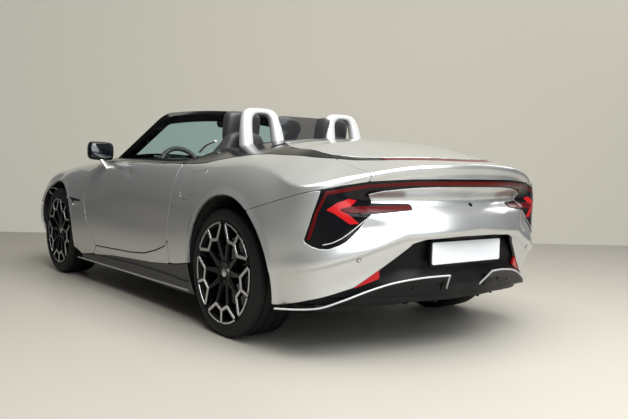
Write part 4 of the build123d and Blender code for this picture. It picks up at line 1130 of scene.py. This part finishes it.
class Wheels(Dress):
    """Tyres, rims with turned lines, discs and calipers"""
    bl_idname = "roadster.wheels"
    bl_label = "Wheels"

    def execute(self, context):
        width = context.scene.roadster_wheels.line * 1000
        for place, axle, (radius, tyre_w), edge in (("front", FRONT_AXLE, FRONT_TYRE, RIM_EDGE),
                ("rear", REAR_AXLE, REAR_TYRE, RIM_EDGE + 6)):
            tyre = self.tyre(radius, tyre_w)
            rim, lines, cap = self.rim(tyre_w, width, edge)
            disc, caliper = self.brake(place)
            for word, side in SIDES:
                shift = Matrix.Translation((side * WHEEL_X / 1000, axle / 1000, radius / 1000))
                turn = Matrix.Rotation(0 if side > 0 else math.pi, 4, "Z")
                body = f"wheel_{place}_{word}"
                held = f"knuckle_front_{word}" if place == "front" else "body"
                for obj, name, finish, slot, ride, nodes in (
                    (tyre, "tyre_rubber", "rubber", "tyre", body, [f"tyre_{place}_{word}"]),
                    (rim, "rim", "rim", "wheel_black", body, [body]),
                    (lines, "rim_lines", "turned", "hoop_silver", body, []),
                    (cap, "hub_cap", "turned", "hoop_silver", body, []),
                    (disc, "brake_disc", "disc", "casting", body, []),
                    (caliper, "brake_caliper", "cast", "casting", held, []),
                ):
                    copy = copied(obj, f"{name}_{place}_{word}")
                    copy.data.transform(shift @ turn)
                    dressed(copy, finish, ride, nodes)
            for obj in (tyre, rim, lines, cap, disc, caliper):
                bpy.data.objects.remove(obj)
        return {"FINISHED"}

    def tyre(self, r, w):
        h = w / 2
        half = [(r - 92, h - 24), (r - 86, h - 10), (r - 76, h - 5), (r - 62, h - 1), (r - 48, h),
            (r - 47, h + 0.8), (r - 40, h),
                (r - 26, h - 3), (r - 14, h - 9), (r - 6, h - 18), (r - 2.5, h - 28)]
        tread = []
        for c in (0.62, 0.22):
            tread += [(r - 1, h * c + 7), (r - 8, h * c + 5), (r - 8, h * c - 5), (r - 0.4, h * c - 7)]
        right = half + tread
        left = [(a, -b) for a, b in right][::-1]
        profile = right + left
        inner = [(r - 92, -h + 24), (r - 80, -h + 34), (r - 22, -h + 30), (r - 18, 0), (r - 22, h - 30),
            (r - 80, h - 34), (r - 92, h - 24)]
        obj = turned("tyre_master", profile + inner[1:], 96)
        return obj

    def rim(self, w, line, edge):
        h = w / 2 - 1
        face = h + (3 if edge == RIM_EDGE else 11)
        barrel = [(edge - 14, -h), (edge, -h), (edge, -h + 8), (edge - 14, -h + 14), (edge - 22, -h + 40),
                  (edge - 30, 0), (edge - 22, h - 40), (edge - 14, h - 16), (edge, h - 8), (edge, h),
                  (edge - 3, h + 1), (edge - 8, h - 3), (edge - 20, h - 24), (edge - 32, h - 50), (edge - 40, 0),
                  (edge - 32, -h + 40), (edge - 20, -h + 10), (edge - 14, -h)]
        parts = [turned("rim_barrel", barrel, 96)]
        hub = [(0, face - 30), (30, face - 29), (56, face - 22), (64, face - 26), (70, face - 40), (70, face - 100),
            (0, face - 100)]
        parts.append(turned("rim_hub", hub, 60))

        def at(r, deg):
            a = math.radians(deg)
            return (r * math.sin(a), -r * math.cos(a))

        def depth(r):
            t = np.clip((r - 60) / (0.66 * edge - 60), 0, 1)
            return face - 8 - 12 * (1 - t) ** 1.5

        def bar(points, width, thick, lift):
            outline = ribbon(points, width)
            obj = prism("bar", outline, -thick, 0, "X")
            for v in obj.data.vertices:
                r = math.hypot(v.co.y, v.co.z) * 1000
                v.co.x += (depth(r) + lift) / 1000
            modify(obj, "BEVEL", width=0.0012, segments=2, limit_method="ANGLE", angle_limit=math.radians(BEND))
            smooth(obj)
            return obj

        def fine(a, b, n=8):
            return [tuple(np.array(a) + (np.array(b) - np.array(a)) * k / n) for k in range(n + 1)]

        lines = []
        R = edge - 3
        for k in range(5):
            o = 72 * k
            knot, out = at(0.735 * R, o), at(0.985 * R, o)
            for s in (-1, 1):
                elbow, end = at(0.66 * R, o + s * 18), at(0.955 * R, o + s * 31)
                arc = [at(0.975 * R, o + s * a) for a in (3, 9, 16, 23, 30)]
                hubward = at(64, o + s * 27)
                parts.append(bar(fine(hubward, elbow), 22, 26, -3))
                parts.append(bar(fine(at(64, o + s * 10), elbow), 15, 20, -8))
                parts.append(bar(fine(knot, elbow) + fine(elbow, end)[1:], line + 9, 20, -2))
                lines.append(bar(fine(knot, elbow) + fine(elbow, end)[1:], line, 4, 1))
                lines.append(bar(arc, line * 0.62, 4, 1))
            parts.append(bar(fine(knot, out), line + 9, 20, -2))
            lines.append(bar(fine(knot, out), line, 4, 1))
            parts.append(bar([at(0.72 * R, o + 36), at(0.97 * R, o + 36)], 5, 14, -10))
        cap = turned("cap", [(0, face - 18), (18, face - 18.5), (23, face - 21), (24, face - 32)], 40)
        for i in range(5):
            a = math.radians(72 * i + 36)
            bolt = turned("bolt", [(0, face - 22), (6, face - 22), (8, face - 25), (8, face - 40)], 12)
            bolt.data.transform(Matrix.Translation((0, 0.047 * math.sin(a), 0.047 * math.cos(a))))
            parts.append(bolt)
        return joined("rim_master", parts), joined("lines_master", lines), cap

    def brake(self, place):
        disc = turned("disc", [(70, 44), (100, 44), (104, 38), (184, 38), (186, 36), (186, 14), (184, 12),
            (104, 12), (98, 6), (70, 6)], 96)
        arc = [(math.sin(a) * 150, math.cos(a) * 150) for a in np.radians(np.linspace(-118, -62, 12))]
        caliper = prism("caliper", ribbon(arc, 84), 0, 62, "X", 8.0, 3)
        return disc, caliper


class Screen(Dress):
    """Windscreen frame, glass, cowl and inner mirror"""
    bl_idname = "roadster.screen"
    bl_label = "Windscreen"

    SLOPE, FOOT, HALF, BOW, HEIGHT = 26.0, (-860.0, 935.0), (841.0, 604.0), (189.0, 56.0), 1329.0

    def point(self, a, s, t):
        tilt = math.radians(self.SLOPE)
        length = (self.HEIGHT - 12 - self.FOOT[1]) / math.sin(tilt)
        half = self.HALF[0] + (self.HALF[1] - self.HALF[0]) * s
        off = t - (self.BOW[0] + (self.BOW[1] - self.BOW[0]) * s) * a * a
        return np.stack([half * a, self.FOOT[0] + length * s * math.cos(tilt) - off * math.sin(tilt),
                         self.FOOT[1] + length * s * math.sin(tilt) + off * math.cos(tilt)], -1)

    def sheet(self, name, inside, lift, wall, edge):
        a, s = np.meshgrid(np.linspace(-1.0, 1.0, 161), np.linspace(-0.02, 1.0, 81), indexing="ij")
        verts, faces = clip(self.point(a, s, lift), inside(a * 740, s * 860))
        obj = made(name, verts / 1000, faces)
        edit(obj, (bpy.ops.mesh.normals_make_consistent, {"inside": False}))
        if sum(p.normal.z * p.area for p in obj.data.polygons) < 0:
            obj.data.flip_normals()
        modify(obj, "SOLIDIFY", thickness=wall / 1000, offset=-1.0)
        if edge:
            modify(obj, "BEVEL", width=edge / 1000, segments=3, limit_method="ANGLE", angle_limit=math.radians(50),
                   use_clamp_overlap=False)
        smooth(obj, 60)
        modify(obj, "WEIGHTED_NORMAL", weight=60, keep_sharp=False)
        return obj

    def execute(self, context):
        def opening(u, v):
            half = 0.845 * 740
            box = np.minimum(half - np.abs(u), np.minimum(v - 0.06 * 860, 0.875 * 860 - v))
            corner = np.hypot(np.maximum(np.abs(u) - half + 25, 0), np.maximum(np.abs(v - 402) - 325, 0))
            return np.minimum(box, 25 - corner)

        def border(u, v):
            corner = np.hypot(np.maximum(np.abs(u) - 740 + 70, 0), np.maximum(v - 860 + 70, 0))
            return np.minimum(70 - corner, -opening(u, v))

        obj = self.sheet("screen_frame", border, 14.0, 34.0, 6.0)
        dressed(obj, "gloss_black", "body", ["windscreen_frame"])
        obj = self.sheet("screen_glass", lambda u, v: opening(u, v) + 6, 2.0, 4.0, 0)
        dressed(obj, "glass", "body", ["windscreen_glass"])

        def cowl(g):
            return least(plan_view(COWL_LINE, g), -plan_view(BONNET_LINE, g) - 14, g[..., 2] - 700)

        obj = skin("cowl_panel", cowl, (-900, -450, 800, 1020), sides=(1, -1), lift=-1.0)
        dressed(obj, "gloss_black", "body")
        mirror = prism("inner_mirror", [(-115, 0), (-105, 34), (0, 44), (105, 34), (115, 0), (100, -26), (0, -34),
            (-100, -26)], -22, 0,
                       "Y", 8.0, 3)
        mirror.data.transform(Matrix.Translation((0, -0.17, 1.235)) @ Matrix.Rotation(math.radians(-8), 4, "X"))
        stem = tube("mirror_stem", [(0, -185, 1245), (0, -150, 1290), (0, -120, 1306)], 9, 12)
        dressed(joined("inner_mirror", [mirror, stem]), "moulded_black", "body")
        return {"FINISHED"}


class Mirrors(Dress):
    """Door mirrors"""
    bl_idname = "roadster.mirrors"
    bl_label = "Door mirrors"

    def execute(self, context):
        for word, side in SIDES:
            bpy.ops.object.select_all(action="DESELECT")
            bpy.ops.mesh.primitive_cube_add(size=2.0, location=(0, 0, 0))
            shell = bpy.context.active_object
            edit(shell, (bpy.ops.mesh.subdivide, {"number_cuts": 11}))
            for v in shell.data.vertices:
                c = np.array(v.co)
                r = np.abs(c)
                for k in range(3):
                    o = [r[(k + 1) % 3], r[(k + 2) % 3]]
                    c[k] *= 1 - 0.20 * (o[0] ** 4 + o[1] ** 4) / 2
                front = ease(-c[1], -0.6, 1.0)
                c[0] *= 1 - 0.18 * front
                c[2] = c[2] * (1 - 0.28 * front) - 0.06 * front + 0.05 * c[0]
                v.co = (0.900 + c[0] * 0.094, -0.515 + c[1] * 0.062, 1.006 + c[2] * 0.068)
            modify(shell, "SUBSURF", levels=1, render_levels=1)
            smooth(shell, 80)
            stalk = tube("stalk", fair([(848, -462, 868), (866, -474, 905), (890, -500, 962)], 12), 42, 24, 0.42)
            glass = prism("mirror_glass", rounded(82, 52, 30), 0, 3, "Y", 1.0)
            glass.data.transform(Matrix.Translation((0.902, -0.4545, 1.008)))
            # the mirror glass takes the dark screen finish: its reflection is painted in as near-black colour, not
            # mirrored
            for obj, finish, name in ((shell, "gloss_black", "mirror_shell"), (stalk, "paint", "mirror_stalk"),
                                      (glass, "screen", "mirror_glass")):
                obj.name = f"{name}_{word}"
                sided(obj, side)
                dressed(obj, finish, "door_" + word,
                    ["mirror_" + word] if name == "mirror_shell" else [])
        return {"FINISHED"}


class Hoops(Dress):
    """Roll hoops and the wind deflector between them"""
    bl_idname = "roadster.hoops"
    bl_label = "Roll hoops"

    def execute(self, context):
        outer = [(170, 1000), (166, 1060), (160, 1120), (152, 1176), (142, 1226), (124, 1266), (90, 1289),
            (44, 1292), (0, 1292)]
        inner = [(80, 1000), (79, 1060), (77, 1120), (75, 1166), (72, 1202), (63, 1231), (44, 1248), (20, 1254),
            (0, 1254)]
        section = [(0.0, 0.28), (0.0, 0.72), (0.22, 1.0), (0.78, 1.0), (1.0, 0.75), (1.0, 0.25), (0.78, 0.0),
            (0.22, 0.0)]
        path = [(u, a, b) for a, b in zip(outer, inner) for u in (1,)] + [(-1, a, b) for a,
            b in list(zip(outer, inner))[-2::-1]]
        for word, side in SIDES:
            verts, faces = [], []
            for sign, a, b in path:
                for across, through in section:
                    x = sign * (a[0] + (b[0] - a[0]) * across)
                    z = a[1] + (b[1] - a[1]) * across
                    t = (z - HOOP_LOW) / HOOP_RISE
                    rear, front = HOOP_REAR[0] - HOOP_REAR[1] * t, HOOP_FRONT[0] - HOOP_FRONT[1] * t
                    verts.append((side * (HOOP_X + x) / 1000, (rear + (front - rear) * through) / 1000, z / 1000))
            n = len(section)
            for k in range(len(path) - 1):
                faces += [(k * n + i, k * n + (i + 1) % n, (k + 1) * n + (i + 1) % n,
                    (k + 1) * n + i) for i in range(n)]
            faces += [tuple(range(n)), tuple(range((len(path) - 1) * n, len(path) * n))]
            hoop = made("hoop_" + word, verts, faces)
            edit(hoop, (bpy.ops.mesh.normals_make_consistent, {"inside": False}))
            modify(hoop, "SUBSURF", levels=3, render_levels=3)
            smooth(hoop, 80)
            dressed(hoop, "hoop", "body", ["roll_hoops"] if side > 0 else [])
        outline = [(-200, 1040), (200, 1040), (205, 1190), (212, 1240), (204, 1251), (-204, 1251), (-212, 1240),
            (-205, 1190)]
        panel = prism("deflector", outline, 775, 781, "Y", 2.0)
        dressed(panel, "smoked", "body", ["wind_deflector"])
        return {"FINISHED"}


class Cabin(Dress):
    """Seats, dashboard, console and steering wheel"""
    bl_idname = "roadster.cabin"
    bl_label = "Cabin"

    def execute(self, context):
        for word, side in SIDES:
            self.seat(word, side)
        self.wheel()
        for name, finish in (("dashboard", "soft_trim"), ("centre_console", "moulded_black")):
            refinished(name, finish)
        screens = [("driver_screen", (240, 510), 905, 985), ("middle_screen", (-130, 130), 890, 975)]
        for name, (x0, x1), z0, z1 in screens:
            obj = prism(name, [(x0, z0), (x1, z0), (x1, z1), (x0, z1)], -440, -428, "Y", 5.0, 3)
            dressed(obj, "screen", "body")
        return {"FINISHED"}

    def seat(self, word, side):
        x = SEAT_X
        base = cushion("seat_base", (x - 0.235, -0.06, 0.30), (x + 0.235, 0.46, 0.50), 0.16)
        for v in base.data.vertices:
            side_rise = abs((v.co.x - x) / 0.235) ** 3
            if v.co.z > 0.4:
                v.co.z += 0.05 * side_rise - 0.03 * (v.co.y - 0.2)
        back = cushion("seat_back", (x - 0.235, -0.075, 0.0), (x + 0.235, 0.075, 0.74), 0.16)
        for v in back.data.vertices:
            h = v.co.z / 0.74
            u = (v.co.x - x) / 0.235
            narrow = 1 - 0.42 * ease(h, 0.6, 1.0)
            v.co.x = x + (v.co.x - x) * narrow
            if v.co.y < 0:
                v.co.y -= 0.055 * abs(u) ** 3 * (1 - ease(h, 0.7, 0.95))
            v.co.y *= 1 - 0.25 * ease(h, 0.5, 1.0)
        back.data.transform(Matrix.Translation((0, 0.475, 0.42)) @ Matrix.Rotation(math.radians(-12), 4, "X"))
        rest = cushion("seat_rest", (x - 0.125, -0.05, -0.11), (x + 0.125, 0.05, 0.11), 0.2)
        rest.data.transform(Matrix.Translation((0, 0.585, 1.165)) @ Matrix.Rotation(math.radians(-8), 4, "X"))
        shoulder = tube("seat_shoulder", fair([(560, 366, 1007), (560, 460, 1053), (560, 578, 1078)], 16), 10, 12,
            0.6)
        for obj, name, finish in ((base, "seat_cushion", "leather"), (back, "seat_back", "leather"),
                (rest, "head_rest", "leather"),
                                  (shoulder, "shoulder_trim", "pale_leather")):
            obj.name = f"{name}_{word}"
            sided(obj, side)
            dressed(obj, finish, "body", ["seat_" + word] if name == "seat_cushion" else [])

    def wheel(self):
        ring = turned("ring", [(161 + 18 * math.cos(a), 18 * math.sin(a)) for a in np.linspace(0, 2 * math.pi, 17)],
            72, "Y")
        boss = turned("boss", [(0, 16), (40, 14), (52, 6), (55, -4), (46, -20), (20, -24), (20, -90), (0, -90)], 40,
            "Y")
        spokes = [prism("spoke", [(-150, -14), (150, -14), (150, 16), (-150, 16)], -5, 5, "Y", 3.0),
                  prism("spoke", [(-18, -150), (18, -150), (14, 0), (-14, 0)], -5, 5, "Y", 3.0)]
        obj = joined("steering_wheel_dressed", [ring, boss] + spokes)
        obj.data.transform(Matrix.Translation(STEERING) @ Matrix.Rotation(math.radians(22), 4, "X"))
        dressed(obj, "leather", "steering_wheel", ["steering_wheel"])


class Understructure(Dress):
    """Finishes of the tub, the running gear and the underside"""
    bl_idname = "roadster.understructure"
    bl_label = "Understructure"

    def execute(self, context):
        finishes = {
            "cabin_tub": "liner", "front_structure": "liner", "battery_pack": "moulded_black",
            "front_subframe": "cast", "rear_subframe": "cast",
            "drive_motor": "cast", "rear_knuckles": "cast", "knuckle_front_left": "cast",
            "knuckle_front_right": "cast",
        }
        for name, finish in finishes.items():
            refinished(name, finish)
        inner = merged("rear_structure", "boot_well")
        for v in inner.data.vertices:
            y, z = v.co.y * 1000, v.co.z * 1000
            v.co.y -= 0.11 * float(ease(y, 1960, 2160) * (1 - ease(z, 880, 930)))
        dressed(inner, "liner", "body", ["rear_structure"])
        return {"FINISHED"}


class Studio(Dress):
    """Floor, backdrop, lights and camera"""
    bl_idname = "roadster.studio"
    bl_label = "Studio"

    def execute(self, context):
        floor_look = Finish("studio_floor", (0.36, 0.34, 0.305), 0.5)
        floor_look.set("Roughness", floor_look.spread(floor_look.noise(1.5, 4.0), 0.42, 0.6))
        bpy.ops.object.select_all(action="DESELECT")
        bpy.ops.mesh.primitive_plane_add(size=60, location=(0, 0, 0))
        floor = bpy.context.active_object
        floor.name = "studio_floor"
        floor.data.materials.append(floor_look.material)
        wall_look = Finish("studio_wall", (0.2, 0.19, 0.16), 0.9, Emission_Strength=0.33)
        wall_look.set("Emission Color", wall_look.mix(wall_look.noise(0.2), (0.93, 0.90, 0.79), (0.97, 0.94, 0.83)))
        bpy.ops.mesh.primitive_plane_add(size=1, location=(0, 0, 0))
        wall = bpy.context.active_object
        wall.name = "studio_wall"
        wall.data.transform(Matrix.Translation((2.886 + WALL_AWAY * math.cos(HEADING),
            4.609 + WALL_AWAY * math.sin(HEADING), 5.0))
                            @ Matrix.Rotation(HEADING, 4, "Z") @ Matrix.Rotation(math.pi / 2, 4,
                            "Y") @ Matrix.Diagonal((*WALL_SIZE, 1, 1)))
        wall.data.materials.append(wall_look.material)
        world = bpy.data.worlds.new("studio_world")
        context.scene.world = world
        world.use_nodes = True
        tree = world.node_tree
        path = node(tree, "ShaderNodeLightPath", {}, {}, "Is Camera Ray")
        back = tree.nodes["Background"]
        tree.links.new(node(tree, "ShaderNodeMix", {"data_type": "RGBA"}, {
            0: path, 6: (0.12, 0.12, 0.12, 1), 7: (0.45, 0.43, 0.37, 1)}, 2), back.inputs["Color"])
        back.inputs["Strength"].default_value = 1.0
        for name, place, aim, size, power, tint in (
            ("window", (0.8, 8.6, 2.9), (0.2, 1.8, 0.6), (6.0, 3.0), 230, (0.90, 0.96, 1.0)),
            ("rear_ceiling", (0.8, 5.6, 4.6), (0.2, 1.8, 0.6), (5.0, 3.0), 360, (0.98, 1.0, 1.0)),
            ("ceiling", (0.6, 2.4, 5.2), (0.3, 1.2, 0.4), (5.0, 4.0), 430, (1.0, 0.98, 0.92)),
            ("far_side", (-6.0, 0.0, 4.0), (0, 0.2, 0.6), (4.0, 3.0), 120, (1.0, 1.0, 1.0)),
        ):
            data = bpy.data.lights.new(name, "AREA")
            data.shape, data.size, data.size_y, data.energy = "RECTANGLE", size[0], size[1], power
            data.color = tint
            lamp = bpy.data.objects.new(name, data)
            context.scene.collection.objects.link(lamp)
            lamp.location = place
            lamp.rotation_mode = "QUATERNION"
            lamp.rotation_quaternion = (Vector(aim) - Vector(place)).to_track_quat("-Z", "Y")
        yaw, pitch, roll = HEADING, -0.0605548, 0.0225452
        look = Vector((math.cos(pitch) * math.cos(yaw), math.cos(pitch) * math.sin(yaw), math.sin(pitch)))
        right = Vector((math.sin(yaw), -math.cos(yaw), 0))
        up = right.cross(look)
        r = right * math.cos(roll) + up * math.sin(roll)
        u = up * math.cos(roll) - right * math.sin(roll)
        data = bpy.data.cameras.new("camera")
        data.sensor_width, data.lens = 36.0, 41.24
        camera = bpy.data.objects.new("camera", data)
        context.scene.collection.objects.link(camera)
        camera.matrix_world = Matrix((
            *((r[k], u[k], -look[k], CAMERA_AT[k]) for k in range(3)), (0, 0, 0, 1)))
        context.scene.camera = camera
        context.scene.view_settings.view_transform = "Standard"
        return {"FINISHED"}


class BodyLook(bpy.types.PropertyGroup):
    paint: bpy.props.FloatVectorProperty(name="Paint", description="Colour of the body paint", subtype="COLOR",
        size=3,
                                         min=0, max=1, default=(0.56, 0.57, 0.57))
    paint_rough: bpy.props.FloatProperty(name="Paint roughness", description="How soft the paint's reflections are",
                                         min=0.05, max=1, default=0.30)
    lamp_red: bpy.props.FloatVectorProperty(name="Lamp red", description="Colour of the bright lamp parts",
                                            subtype="COLOR", size=3, min=0, max=1, default=(0.40, 0.006, 0.008))
    leather: bpy.props.FloatVectorProperty(name="Leather", description="Colour of the seats", subtype="COLOR", size=3,
                                           min=0, max=1, default=(0.045, 0.045, 0.05))
    gap: bpy.props.FloatProperty(name="Shut gap", description="Gap between two panels", unit="LENGTH", min=0.002,
                                 max=0.01, default=0.0045)


class WheelLook(bpy.types.PropertyGroup):
    line: bpy.props.FloatProperty(name="Turned line", description="Width of the bright lines on the rims",
        unit="LENGTH",
                                  min=0.006, max=0.02, default=0.0155)


STEPS = (SidePanels, DoorLinings, FrontEnd, Tail, TailLamps, RearFittings, Wheels, Screen, Mirrors, Hoops, Cabin,
         Understructure, Studio)


class RoadsterPanel(bpy.types.Panel):
    """Lists the pieces"""
    bl_idname = "VIEW3D_PT_roadster"
    bl_label = "Roadster"
    bl_space_type = "VIEW_3D"
    bl_region_type = "UI"
    bl_category = "Roadster"

    def draw(self, context):
        body, wheels = context.scene.roadster_body, context.scene.roadster_wheels
        for name in ("paint", "paint_rough", "lamp_red", "leather", "gap"):
            self.layout.prop(body, name)
        self.layout.prop(wheels, "line")
        for step in STEPS:
            self.layout.operator(step.bl_idname)


CLASSES = (BodyLook, WheelLook) + STEPS + (RoadsterPanel,)


def register():
    for c in CLASSES:
        bpy.utils.register_class(c)
    bpy.types.Scene.roadster_body = bpy.props.PointerProperty(type=BodyLook)
    bpy.types.Scene.roadster_wheels = bpy.props.PointerProperty(type=WheelLook)


def unregister():
    del bpy.types.Scene.roadster_wheels
    del bpy.types.Scene.roadster_body
    for c in reversed(CLASSES):
        bpy.utils.unregister_class(c)


def main():
    register()
    make_finishes(bpy.context.scene.roadster_body)
    for step in STEPS:
        group, name = step.bl_idname.split(".")
        getattr(getattr(bpy.ops, group), name)()


if __name__ == "__main__":
    main()
